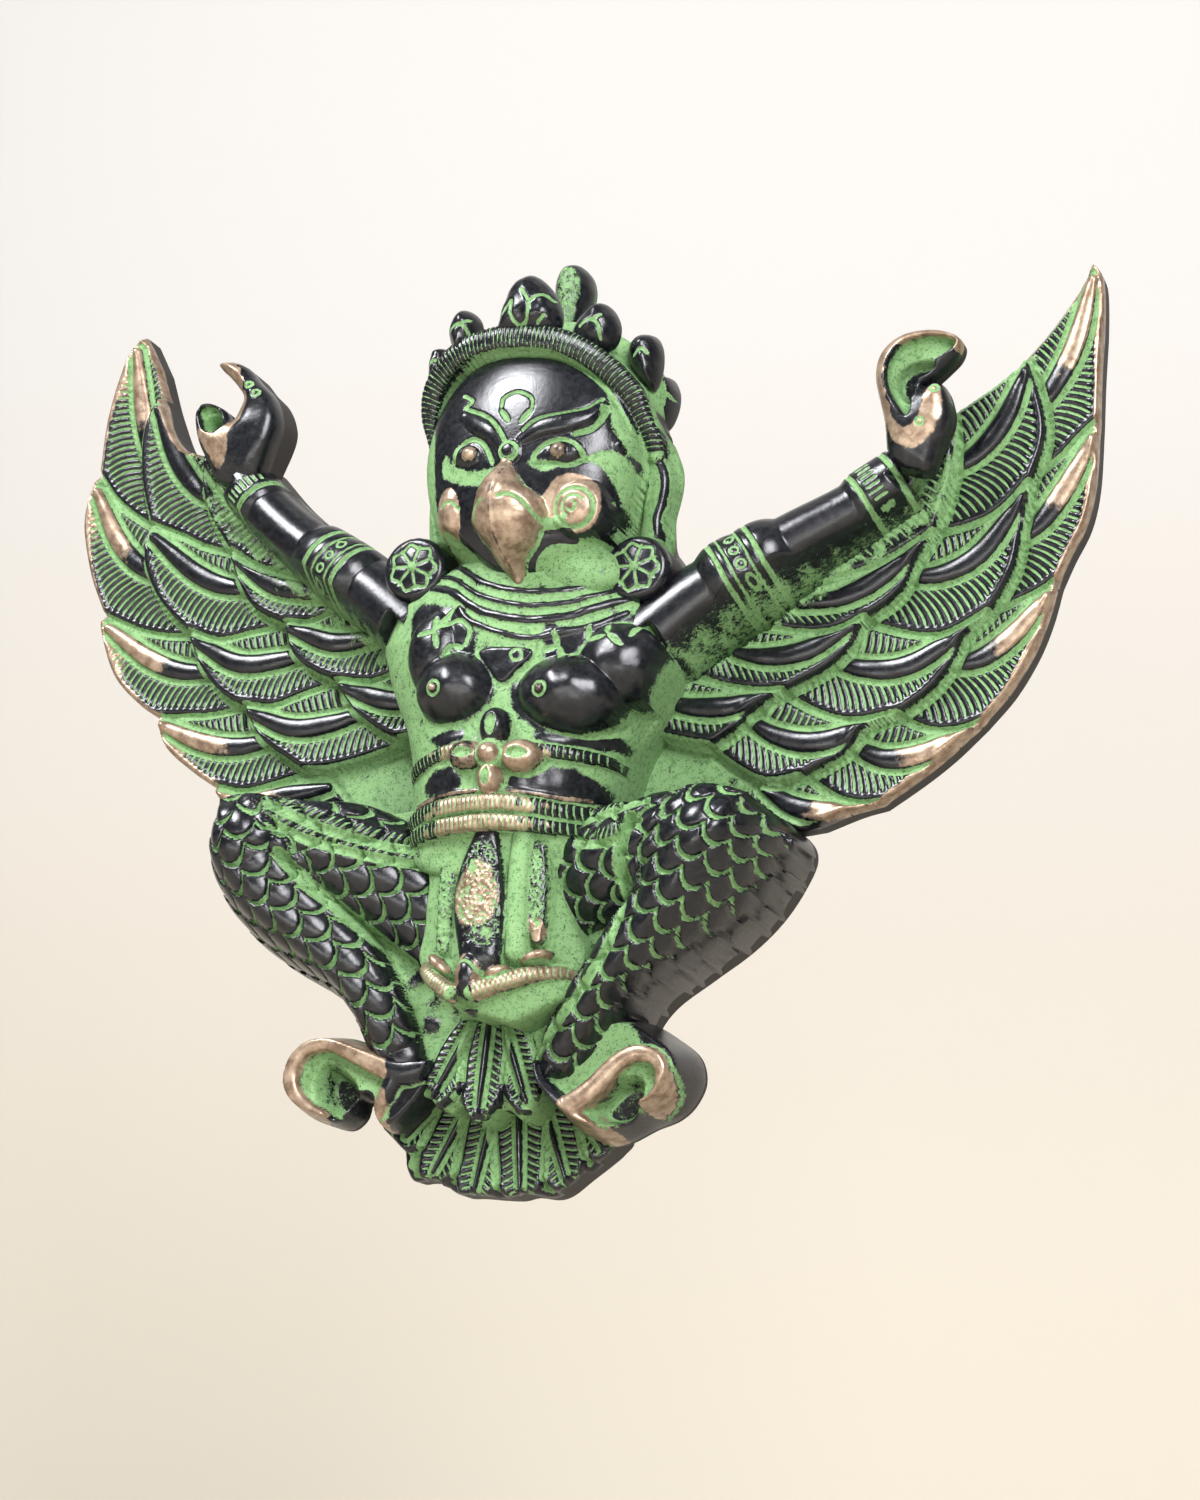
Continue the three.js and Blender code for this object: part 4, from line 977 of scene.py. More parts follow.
def crown_leaves():
    """The leaves of the crown: a middle one, three on each side, and the knob behind them."""
    centre = [(-6.6, 85.4), (-5.8, 90.6), (-4, 95), (-0.6, 97), (2.6, 95.4), (5.6, 91.6), (6.9, 87.4),
              (5.4, 84.4), (-0.4, 83.6), (-5, 83.8)]
    knob = [(-3, 92), (-3.4, 98), (-4.3, 103.4), (-3, 107.4), (-0.2, 108.6), (2.8, 106.6), (4.2, 102.6),
            (3.6, 97), (3.4, 91), (1.8, 85), (-1.4, 85)]
    loops = [[(-4.4, -1.6), (-2.4, 0.8), (-2.2, -2.2), (-0.6, -4.2), (1.2, -3), (1.4, 0.2), (-0.4, 3)],
             [(1.6, 0.4), (3.8, 2), (5.6, 1.2)],
             [(3.2, -3.8), (4.6, -2.4)]]
    curl = [[(-2.2, -0.8), (0, 0.4), (1.6, -0.8), (2, -3.2)], [(0.2, 0.2), (1.8, 1.4)]]
    tick = [[(-1.2, -0.4), (0.2, 0.8), (1.4, 0)]]
    right = [([(8.2, 85.6), (10.2, 89.2), (13.4, 91.6), (16.4, 90), (18.2, 86.2), (17.4, 82.4), (14, 81),
               (9.6, 82.6)], 38, 0.0),
             ([(17.8, 84.6), (19.6, 87), (23, 87), (24.8, 84), (25, 79), (23.6, 75.6), (20.6, 77.6),
               (18.2, 81)], 31, 0.3),
             ([(22.8, 80.4), (24.6, 81), (26.2, 78), (26.2, 74.4), (25, 71), (23.4, 70.4), (22.4, 75)], 23,
              0.9)]
    left = [([(-18, 85.6), (-17.4, 89.4), (-14.8, 91.4), (-12, 89.6), (-11, 86), (-12.6, 82.6),
              (-15.6, 80.8)], 38, 0.0),
            ([(-24.6, 83.6), (-23.6, 85.8), (-20.6, 85.8), (-19.6, 82.6), (-20.8, 78.4), (-23, 75.4),
              (-24.6, 78.4)], 31, 0.1),
            ([(-26.6, 77.6), (-25.4, 79.4), (-23.4, 77), (-23, 72.4), (-24, 68.8), (-26, 69.4), (-27, 73)],
             23, 0.0)]
    forms = [crown_leaf(centre, 41, 6, loops), crown_leaf(knob, 19, 7, tick, green=0.52)]
    for outline, front, green in right + left:
        forms.append(crown_leaf(outline, front, 5.5, curl if front > 36 else tick, green))
    return forms


EARRINGS = ((23.8, 38.7), (-22.9, 39.4))
EARRING_RADIUS = 6.6
PETALS = 7                 # petals on an earring


def earring(middle):
    """A round stud with a flower cut into it."""
    around = np.linspace(0, 2 * math.pi, 60, endpoint=False)
    outline = np.array([polar(middle, EARRING_RADIUS, turn) for turn in around])

    def paint(surface, inside):
        surface.h[:] = 28.4
        surface.dome(middle, (EARRING_RADIUS, EARRING_RADIUS), 26.5, 29, power=0.4)
        for i in range(PETALS):
            between = (i + 0.5) * 2 * math.pi / PETALS
            surface.groove([polar(middle, reach, between) for reach in (1.2, 4.4)], 0.27, 0.4)
            turn = i * 2 * math.pi / PETALS
            tip = [polar(middle, 4, turn - 0.4), polar(middle, 4.9, turn), polar(middle, 4, turn + 0.4)]
            surface.groove(tip, 0.3, 0.4)
        surface.dome(middle, (1.1, 1.1), 28.6, 29.6, green=1.0)

    return form(outline, paint, foot=17, cell=FINE, edge=1.6)


# The arms and hands

ARMS = {
    1: [(24, 25, 8.6, 28), (34, 34, 7.6, 27), (44, 40.6, 6.8, 26), (54, 47, 6.3, 24.5), (63, 52.6, 5.8, 23),
        (73, 60, 5.2, 22)],
    -1: [(-24, 28, 8.6, 28), (-34, 36, 7.4, 27), (-43, 41.6, 6.6, 26), (-53.5, 48.6, 6.2, 24.5),
         (-62, 55.4, 5.8, 23), (-70, 63, 5.3, 22)],
}


def outline_of(stations):
    """The outline of a tube through stations of (x, z, half width)."""
    line = curve(stations)
    reach = normals_of(line) * line[:, 2:3]
    return np.vstack([line[:, :2] + reach, (line[:, :2] - reach)[::-1]])


def arm(side):
    """A smooth round arm with a beaded band above the elbow and a cuff at the wrist."""
    line = curve(ARMS[side])

    def spot(share, off=0.0):
        """A place along the arm, and that far to the left of its middle line."""
        place = min(max(share, 0), 1) * (len(line) - 1)
        i = min(int(place), len(line) - 2)
        x, z, half, crest = line[i] + (line[i + 1] - line[i]) * (place - i)
        ahead = line[i + 1][:2] - line[i][:2]
        ahead = ahead / np.hypot(*ahead)
        return x - ahead[1] * off, z + ahead[0] * off, half, crest

    def band(surface, start, end, thick):
        """A raised ring round the arm, between two shares of its length."""
        stations = []
        for share in np.linspace(start, end, 4):
            x, z, half, crest = spot(share)
            stations.append((x, z, half + thick, crest + thick))
        surface.tube(stations, roundness=1.15)

    def hoop(surface, share, half_wide, depth):
        """A groove round the arm, bowed as a ring round a limb looks from the front."""
        reach = spot(share)[2] + 2
        points = []
        for way in np.linspace(-1, 1, 7):
            x, z, _, _ = spot(share - 0.018 * way * way * reach / 7, reach * way)
            points.append((x, z))
        surface.groove(points, half_wide, depth)

    def paint(surface, inside):
        surface.h[:] = 12
        surface.tube([tuple(station) for station in ARMS[side]], roundness=1.2)
        band(surface, 0.345, 0.455, 0.9)
        band(surface, 0.34, 0.358, 1.7)
        band(surface, 0.442, 0.46, 1.7)
        for share, half_wide in ((0.333, 0.5), (0.366, 0.25), (0.432, 0.25), (0.468, 0.5)):
            hoop(surface, share, half_wide, 0.6)
        for off in (-4.6, -1.5, 1.6, 4.7):
            x, z, _, _ = spot(0.4, off)
            surface.ring((x, z), 0.85, 0.24, 0.4)
        band(surface, 0.87, 0.97, 1.0)
        for share in (0.86, 0.98):
            hoop(surface, share, 0.55, 0.7)
        for off in np.arange(-4.4, 4.5, 1.25):
            surface.groove([spot(0.885, off)[:2], spot(0.925, off)[:2]], 0.24, 0.4)
        beside = nearest(surface.x, surface.z, line)[0] / line[:, 2].mean()
        low_side = surface.z < np.interp(np.abs(surface.x), np.abs(line[:, 0]), line[:, 1])
        fallen = np.minimum(surface.h, 7 + 21 * np.sqrt(inside / 5))
        surface.h = np.where(low_side, fallen, surface.h)
        dust = smooth(0.35, 1.05, beside) * low_side * (0.52 + 0.08 * ripple(surface.x, surface.z, 4, 21))
        surface.green = np.maximum(surface.green, dust)

    fuller = []
    for i, (x, z, half, crest) in enumerate(ARMS[side]):
        fuller.append((x, z, half + (1.1 if i in (2, 5) else 0.3), crest))
    return form(outline_of(fuller), paint, foot=5, cell=FINE, edge=1.2)


# A hand's outline, the fields in it, its brass rim and the rings on its back
HANDS = {
    1: {
        "outline": [(71.1, 61), (69.7, 68.4), (68.2, 73.9), (67.1, 78.8), (68.3, 83.5), (71.8, 86.5),
                    (77.1, 87.5), (81.7, 86.6), (83.8, 84.9), (83.4, 82.1), (80.9, 79.2), (77.2, 75.6),
                    (79.1, 76.6), (81.2, 75.6), (82.7, 71.3), (82.6, 67.9), (80.9, 63.9), (78.6, 58.6)],
        "palm": [(70.6, 81.1), (73, 84.4), (78.3, 85.6), (82.2, 84.9), (82.2, 83.1), (78.6, 80.5),
                 (76, 78.2), (74.8, 75), (74.9, 70.8), (74.2, 69.6), (71.3, 73.5), (69.9, 77.7)],
        "hole": [(71.8, 77.6), (73.9, 80.2), (77.9, 80.7), (78.4, 79.2), (75.6, 76.9), (75, 73.6),
                 (73.2, 74)],
        "bare": [(69.6, 72.5), (72.2, 68.1), (74.5, 66.6), (77, 68.8), (78, 74), (80.4, 74.6), (81, 69.3),
                 (78.3, 64.4), (74.7, 63), (71.4, 66)],
        "rim": [(69.8, 70), (68.4, 74), (67.6, 79), (68.8, 83.4), (72, 86), (77.1, 86.7), (81.7, 85.9),
                (83.4, 84)],
        "marks": [(79.6, 74.6), (77.2, 67.8)],
        "foot": 18,
        "wrist": 66,
    },
    -1: {
        "outline": [(-75.4, 86.8), (-72.8, 87.6), (-68.8, 86.3), (-65.6, 83), (-62.4, 80), (-60.4, 76.4),
                    (-59.8, 72.6), (-61.4, 67), (-64, 61.4), (-69, 60.4), (-73.4, 61.6), (-74.9, 64.5),
                    (-77.5, 69), (-79.3, 74.9), (-78.5, 77.9), (-76.3, 78.5), (-73, 77.1), (-71.3, 74.8),
                    (-70.2, 74.4), (-69.1, 76.6), (-68.4, 79.1), (-70.5, 82), (-72.8, 84.4)],
        "palm": [(-78.2, 76.8), (-76, 77.7), (-73.4, 76), (-72.2, 72.8), (-73.7, 71.4), (-76, 72.2),
                 (-77.2, 74.5)],
        "hole": [(-76.4, 74.8), (-74.6, 75.4), (-74.2, 73.6), (-75.6, 73.2)],
        "bare": [(-70.5, 82), (-67.1, 79.3), (-67.3, 75.2), (-69.8, 70.9), (-70, 66.5), (-72, 63.7),
                 (-74.8, 67.4), (-77.7, 71.9), (-72.9, 70.6), (-70.2, 73.9), (-68.7, 76.6), (-68.6, 79.3)],
        "rim": [(-75, 86.8), (-72, 85.6), (-69.6, 82.4)],
        "marks": [(-66.6, 81.4), (-64.6, 79.4)],
        "foot": 13,
        "wrist": 67,
    },
}


def hand(side):
    """A hook of curled fingers: a thin brass rim round a green palm, brass where it is held, and a
    black back."""
    plan = HANDS[side]
    wrist = plan["wrist"]

    def paint(surface, inside):
        x, z = surface.x, surface.z
        surface.h[:] = 21.8 + 3.2 * np.sqrt(np.clip(1 - (1 - inside / 3.6).clip(0, 1) ** 2, 0, 1))
        surface.h -= 1.8 * smooth(wrist + 3, wrist - 6, z)
        surface.sink(plan["bare"], 0, soft=2.6, green=0.0, brass=1.0)
        near = nearest(x, z, curve(plan["rim"]))[0] + 0.5 * ripple(x, z, 3, 4)
        surface.brass = np.maximum(surface.brass, smooth(2.2, 1.2, near))
        surface.sink(plan["palm"], 3.6, brass=0.0)
        surface.sink(plan["hole"], 6.0, soft=2.0, green=0.3, brass=0.0)
        for mark in plan["marks"]:
            surface.ring(mark, 0.7, 0.3, 0.3)
        surface.h += 0.12 * ripple(x, z, 7, 5)

    return form(curve(plan["outline"], closed=True), paint, foot=plan["foot"], cell=FINE, edge=1.0)


# The legs

SIDE_FOOT = 3.0            # a leg's outer side rounds down to this far from the wall
TURNED = 0.8               # a place that drops further than this is on a limb's outer side
SCALE_PITCH = 4.5          # from one row of scales to the next
SCALE_WIDE = 6.6

# A leg's outline, and its shin and thigh as stations of (x, z, half width, crest)
LEGS = {
    1: {
        "outline": [(16, -8), (27, -7.6), (33, -5.2), (41, -4.6), (49, -5.6), (54.6, -8.6), (56.6, -12.6),
                    (54.6, -18.4), (50.6, -25), (45, -31), (37.6, -36.8), (30.6, -42.4), (27, -48),
                    (24.4, -56), (18, -63), (11, -60), (8.6, -52), (14, -42), (17, -34), (12, -26)],
        "shin": [(50, -7, 8, 31), (46, -12, 11, 35.4), (43, -17.5, 11, 36), (38, -27, 9, 34.4),
                 (31.6, -34.6, 7.6, 32), (25.4, -42.6, 6.6, 30), (19.6, -50, 6, 27), (14.6, -58, 5, 24)],
        "knee": (43.6, -16),
        "thigh": [(42, -15, 10.5, 35), (30, -16, 10.5, 33), (20, -19, 11, 30), (12, -22, 12, 27),
                  (6, -26, 12, 26)],
        "groove": [(29, -12), (27.5, -20), (28.6, -26), (27.4, -33), (24, -40), (19, -46.4), (15, -51),
                   (11.6, -56)],
        "tufts": [[(18.1, -16.4), (22.6, -16.8), (26.8, -15.9), (30.8, -12.6)],
                  [(17, -12.4), (24, -10.4), (31.3, -8.4)]],
    },
    -1: {
        "outline": [(-16, -8), (-28, -8), (-40, -8.6), (-51, -7.6), (-58.6, -9.2), (-63.4, -14),
                    (-64.2, -20.4), (-61.2, -27.8), (-54.6, -35), (-45.6, -40.2), (-38, -43.8),
                    (-32.6, -47), (-29, -52), (-26.6, -58), (-20, -63.4), (-12, -61), (-9, -52), (-12, -42),
                    (-12, -26)],
        "shin": [(-57, -9, 8, 32), (-54, -14, 11, 35.6), (-51, -21, 11.4, 36), (-44.6, -29, 9.8, 34.4),
                 (-37.4, -35, 8.8, 32), (-29.6, -41.4, 7.8, 29.6), (-23.6, -49, 6.8, 27),
                 (-18.6, -57, 5.6, 24)],
        "knee": (-52, -18),
        "thigh": [(-50, -15.5, 10, 35), (-36, -16.5, 10, 33), (-26, -21, 11.4, 30), (-16, -27, 12, 27),
                  (-8, -33, 12, 26)],
        "groove": [(-42, -20.6), (-37.3, -25.3), (-31.5, -29.4), (-26.7, -33), (-21.6, -36.4),
                   (-16.6, -39.6)],
        "tufts": [[(-48.6, -11.4), (-40, -16.2), (-28.4, -19.1), (-14.1, -20.8)],
                  [(-45.3, -10.6), (-33.7, -14.9), (-22.3, -17.2), (-16, -17.5)]],
    },
}


def leg(side):
    """A scaled thigh and shin, with a dome at the knee and fringes of feather at the hip."""
    plan = LEGS[side]
    knee = plan["knee"]
    thigh = plan["thigh"]
    shin = plan["shin"]
    groove = plan["groove"]

    def paint(surface, inside):
        surface.h[:] = 17
        surface.green[:] = 1.0
        surface.tube(thigh, roundness=0.9)
        scales(surface, thigh)
        for line in plan["tufts"]:
            tuft(surface, line)
        surface.groove(groove, 1.5, 1.6)
        surface.tube(shin, roundness=0.7)
        surface.dome(knee, (10.5, 10), 29, 37)
        drop = fall_away(surface, inside, curve(shin), side)
        scales(surface, shin, drop=drop)
        surface.groove(groove, 1.1, 1.2)
        surface.settle(reach=1.4, depth=0.9 + 1.2 * smooth(0.5, 4, drop), strength=0.9)
        surface.green *= 1 - smooth(0.5, 2, drop) * smooth(2.4, 0.8, inside)

    return form(curve(plan["outline"], closed=True), paint, foot=0.24, edge=1.2, rings=5,
                hollows=[(knee, (6.6, 6.6), 12, 27)])


def fall_away(surface, inside, line, outer):
    """Rounds a limb's outer side down to the wall, and gives how far each place drops by it."""
    away, _, turn, _ = nearest(surface.x, surface.z, line)
    across = away / (away + inside + 0.01)
    lower = SIDE_FOOT + (surface.h - SIDE_FOOT) * np.sqrt(np.clip(1 - across ** 2, 0, 1))
    drop = np.where(turn * outer > 0, surface.h - lower, 0)
    surface.green = np.where(drop > TURNED, 0, surface.green)
    surface.h -= drop
    return drop


def scales(surface, stations, drop=None):
    """Rows of round scales along a limb, each with a deep green lower edge that thins out at its ends."""
    line = curve(stations, steps=8)
    at = surface.window(line, line[:, 2].max() + 4)
    away, share, side, _ = nearest(surface.x[at], surface.z[at], line)
    down = np.zeros(away.shape) if drop is None else drop[at]
    shares, length = measured(line)
    half = np.interp(share, shares, line[:, 2])
    along = share * length
    bend = half * np.arcsin(np.clip(away / half, 0, 0.98))
    turned = down > TURNED
    across = side * np.maximum(np.where(turned, 0, bend), away + 0.6 * down)
    row = along / SCALE_PITCH
    covered = np.zeros(along.shape, bool)
    cut, lift = np.zeros(along.shape), np.zeros(along.shape)
    for ahead in (1, 0):
        number = np.floor(row) - ahead
        offset = 0.5 * (number % 2)
        centre = (np.round(across / SCALE_WIDE - offset) + offset) * SCALE_WIDE
        dx = (across - centre) / (0.55 * SCALE_WIDE)
        dz = (along - (number + 0.5) * SCALE_PITCH) / SCALE_PITCH
        radius = np.hypot(dx, np.where(dz > 0, dz / 1.05, dz / 5))
        here = radius < 1.0
        low = np.clip(dz / 1.05 / np.maximum(radius, 0.01), 0, 1)
        edge = smooth(0.93 - 0.2 * low, 0.99 - 0.14 * low, radius) * smooth(0.1, 0.35, low)
        cut = np.where(here & ~covered, edge, cut)
        lift = np.where(here & ~covered, 1 - radius ** 2, lift)
        covered |= here
    cut = np.where(covered, cut, np.where(turned, 0, 0.8))
    on = ((away < 0.97 * half) | turned) & (share > 0.001) & (share < 0.999)
    steep = 1 + 0.08 * down
    surface.h[at] += np.where(on, (lift - 0.8 * cut) * steep, 0)
    surface.green[at] = np.where(on, np.maximum(surface.green[at], cut), surface.green[at])


def tuft(surface, points):
    """A fringe of feather: a deep line with short barbs above it."""
    line = curve(points, steps=8)
    at = surface.window(line, 5)
    away, share, _, _ = nearest(surface.x[at], surface.z[at], line)
    ordered = line[np.argsort(line[:, 0])]
    above = surface.z[at] > np.interp(surface.x[at], ordered[:, 0], ordered[:, 1])
    fringe = above & (away > 0.8) & (away < 4) & (share > 0.02) & (share < 0.98)
    surface.green[at] = np.where(fringe, 0, surface.green[at])
    along = share * measured(line)[1]
    barbs(surface, at, along, away, 0.5, 0, fringe, smooth(4.2, 2, away))
    surface.groove(points, 1.0, 1.0)


def lap():
    """The green ground behind the loincloth and between the legs."""
    outline = curve([(-40, -12), (-34, -30), (-24, -50), (-18, -62), (0, -66), (12, -62), (20, -46),
                     (26, -30), (34, -12), (0, -8)], closed=True)

    def paint(surface, inside):
        surface.h[:] = 19.5 + 0.3 * ripple(surface.x, surface.z, 6, 2)
        surface.green[:] = 0.62 + 0.28 * ripple(surface.x, surface.z, 7, 13)

    return form(outline, paint, foot=0.5, edge=1.0)


# A foot's outline, its rim and claw as stations, and the fields that differ in finish
FEET = {
    1: {
        "outline": [(8.8, -56), (9.6, -61.8), (13, -65.8), (17, -68.6), (22, -70.6), (26, -69.8), (31, -67),
                    (35.4, -65), (38.4, -62), (40, -57.6), (38.6, -53), (34, -49.6), (28, -46.8), (22, -48),
                    (15, -52)],
        "rim": [(18.6, -65.2, 2.2, 25), (20.6, -63.8, 2.0, 25.2), (23.4, -61.3, 1.8, 25.2),
                (27.5, -56.9, 1.7, 25.2), (31, -54.8, 1.5, 25.2), (34.6, -55.3, 1.4, 25),
                (36.4, -57.8, 1.3, 24.8), (36.3, -60.9, 1.3, 24.4), (34.9, -63, 1.2, 24),
                (33.2, -64.3, 1.3, 23.8)],
        "talon": [(10.4, -58, 1.6, 26), (11.2, -61.2, 2.4, 26), (14, -64, 2.8, 25.8),
                  (17.2, -66.4, 2.6, 25.2), (20.6, -68.2, 1.9, 24.2), (23.6, -69.6, 1.1, 23)],
        "hollow": [(23.4, -63.6), (25.8, -61), (28.4, -59.8), (31, -59.7), (31.6, -61.8), (30.3, -65.6),
                   (28, -67.4), (24.5, -67.4), (22.8, -65.5)],
        "bare": [(17.4, -70), (16.6, -65), (20, -62), (24, -66), (26, -71)],
        "dark": [(29, -46), (32, -52.8), (35.6, -53.4), (37.7, -57), (37.5, -61.4), (35.2, -64.6),
                 (31, -67), (40, -69), (44, -58), (40, -47)],
        "back": 7,
    },
    -1: {
        "outline": [(-9.2, -57), (-13.5, -56.6), (-17.6, -56.8), (-24.2, -54.8), (-30.8, -53),
                    (-36.4, -53.6), (-40.3, -56.7), (-41.9, -60.8), (-41.6, -64.7), (-38.9, -68.2),
                    (-34.4, -70), (-29.4, -70.8), (-26.6, -68.6), (-25.7, -65.4), (-23.4, -65.6),
                    (-22, -69), (-20.4, -71), (-16.6, -69.5), (-12, -64)],
        "rim": [(-12, -59.2, 2.2, 24.6), (-16, -60, 2.6, 24.8), (-20.7, -58.8, 2.4, 25),
                (-25.9, -56.9, 2.1, 25.2), (-31, -55.2, 1.8, 25.2), (-35.2, -55.7, 1.8, 25.2),
                (-37.9, -57.7, 1.8, 25), (-39.4, -61, 1.8, 24.8), (-38.7, -64.9, 1.8, 24.6),
                (-35.9, -67.7, 1.6, 24.4), (-32.4, -69.1, 1.1, 24)],
        "talon": [(-17.6, -61, 1.8, 24.6), (-18.9, -64.1, 1.6, 24.2), (-20.2, -66.6, 1.3, 23.4),
                  (-21.1, -69.6, 0.9, 22.6)],
        "hollow": [(-33.2, -59.9), (-29.5, -61), (-26.7, -63.5), (-27.4, -66.1), (-30, -68.8),
                   (-32.3, -67.3), (-34, -63.8)],
        "bare": [(-18.4, -64), (-21.6, -64.4), (-22.6, -70), (-19.6, -70.6)],
        "dark": [(-19.6, -55), (-18.8, -60), (-18.6, -65), (-17.6, -70), (-12, -66), (-8, -60), (-8, -56)],
        "back": 13,
    },
}


def foot(side):
    """A hooked toe: a green hollow with black in its depth, a brass rim that curls round it, a claw
    with a bare tip, and a dark part outside the rim."""
    plan = FEET[side]
    back = plan["back"]

    def paint(surface, inside):
        x, z = surface.x, surface.z
        ragged = smooth(0.6, 2.2, inside + 0.4 * ripple(x, z, 3, 6))
        surface.h[:] = 21.5
        surface.green[:] = (0.74 + 0.12 * ripple(x, z, 4, 9)) * ragged
        surface.sink(plan["hollow"], 6.5, soft=2.6, green=0.36)
        surface.tube(plan["talon"], roundness=0.9)
        surface.sink(plan["bare"], 0, soft=2, green=None, brass=1.0)
        surface.tube(plan["rim"], roundness=0.6, brass=1.0)
        surface.sink(plan["dark"], 0, soft=2.0, green=0.0, brass=0.0)
        surface.settle(reach=1.2, depth=0.7, strength=0.7)
        surface.h = np.minimum(surface.h, back + 3 + 5.5 * inside)

    return form(curve(plan["outline"], closed=True), paint, foot=back, cell=FINE, edge=1.4)


# The tail

def tail_feather(surface, root, turn, reach, half, front):
    """A feather of the tail, from its root downwards at an angle."""
    def at(share, across):
        return (root[0] + math.sin(turn) * reach * share + math.cos(turn) * across,
                root[1] - math.cos(turn) * reach * share + math.sin(turn) * across)

    upper = curve([at(0.08, 0.5 * half), at(0.5, 0.95 * half), at(0.86, 0.86 * half)])
    lower = curve([at(0.08, -0.5 * half), at(0.5, -0.95 * half), at(0.86, -0.86 * half)])
    free = curve([upper[-1], at(1, 0.45 * half), at(1.02, 0), at(1, -0.45 * half), lower[-1]])[1:-1]
    quill = [at(0.12, 0), at(0.4, 0), at(0.7, 0), at(0.95, 0)]
    shape = np.vstack([upper, free, lower[::-1]])
    around = surface.window(shape, 2)
    inside, _ = within(surface.x[around], surface.z[around], shape)
    surface.green[around] = np.maximum(surface.green[around], smooth(-1.3, -0.8, inside))
    feather(surface, upper, free, lower, quill, front, 0.0, 1, rim=0.3, broad=0.6, cut=0.6)


def tail():
    """A fan of six feathers, and three short ones over it."""
    count = 6
    outline = curve([(-27.1, -67), (-24.6, -70.8), (-21.6, -73), (-20.8, -76.4), (-19, -79), (-16.2, -78.8),
                     (-11.9, -79), (-11, -80.2), (-8.4, -81.3), (-5.3, -81.2), (-1.2, -81.3), (2.9, -81.2),
                     (5.9, -80.4), (10, -80.6), (12.9, -79.5), (16.4, -76.5), (20, -73.5), (22.6, -71),
                     (24, -68), (20, -60), (0, -50), (-20, -58)], steps=4, closed=True)

    def paint(surface, inside):
        surface.h[:] = 6.5
        surface.green[:] = 1.0
        for i in (0, 5, 1, 4, 2, 3):
            t = (2 * i + 1) / count - 1
            tail_feather(surface, (0.6, -46), 0.82 * t, 37.6 - 5.5 * t * t, 5.6, 10.5 - 0.8 * t * t)
        surface.settle(reach=1.2, depth=0.5)
        surface.green *= smooth(0.3, 1.5, inside + 0.5 * ripple(surface.x, surface.z, 3, 14))

    fan = form(outline, paint, foot=0.36, cell=FINE, edge=1.2, wall=(0.1, 0.1))
    upper_outline = curve([(-11, -50), (-12.6, -58), (-10.6, -64.4), (-7.6, -67), (-4.4, -65), (-0.6, -69),
                           (3.6, -65.6), (7.6, -67.6), (10.6, -64.6), (12, -58), (11, -50)], closed=True)

    def paint_upper(surface, inside):
        surface.h[:] = 18
        surface.green[:] = 1.0
        for turn, reach in ((-0.42, 25), (0.42, 25), (0, 25.6)):
            tail_feather(surface, (-0.2, -43), turn, reach, 4.6, 22)
        surface.settle(reach=1.2, depth=0.5)
        surface.ridge([(-4.4, -62.2), (-3.6, -65.6), (-0.4, -67.4), (3.2, -65.8), (4, -62.2)], 1.0, 0.5)
        surface.ridge([(5.4, -63), (6.9, -65.8), (8.4, -63.4)], 0.8, 0.4)
        surface.ridge([(-10.4, -62), (-8.4, -64.6), (-6.4, -63)], 0.8, 0.4)

    upper = form(upper_outline, paint_upper, foot=6, cell=FINE, edge=1.2, wall=(0.9, 0.0))
    return [fan, upper]


# The finish

# Colours from dark to light, in linear light
GREEN = ((0.130, 0.260, 0.093), (0.195, 0.338, 0.142))
GREEN_GRAIN = (0.085, 0.182, 0.060)
GREEN_SPECKLE = (0.014, 0.034, 0.012)
BLACK = ((0.0012, 0.0012, 0.0028), (0.013, 0.015, 0.0175))
BRASS = ((0.185, 0.122, 0.080), (0.43, 0.325, 0.230))
# The dark brown that walls and backs get as painted shade
SIDE_SHADE_COLOURS = ((0.0060, 0.0044, 0.0038), (0.012, 0.0085, 0.0070))


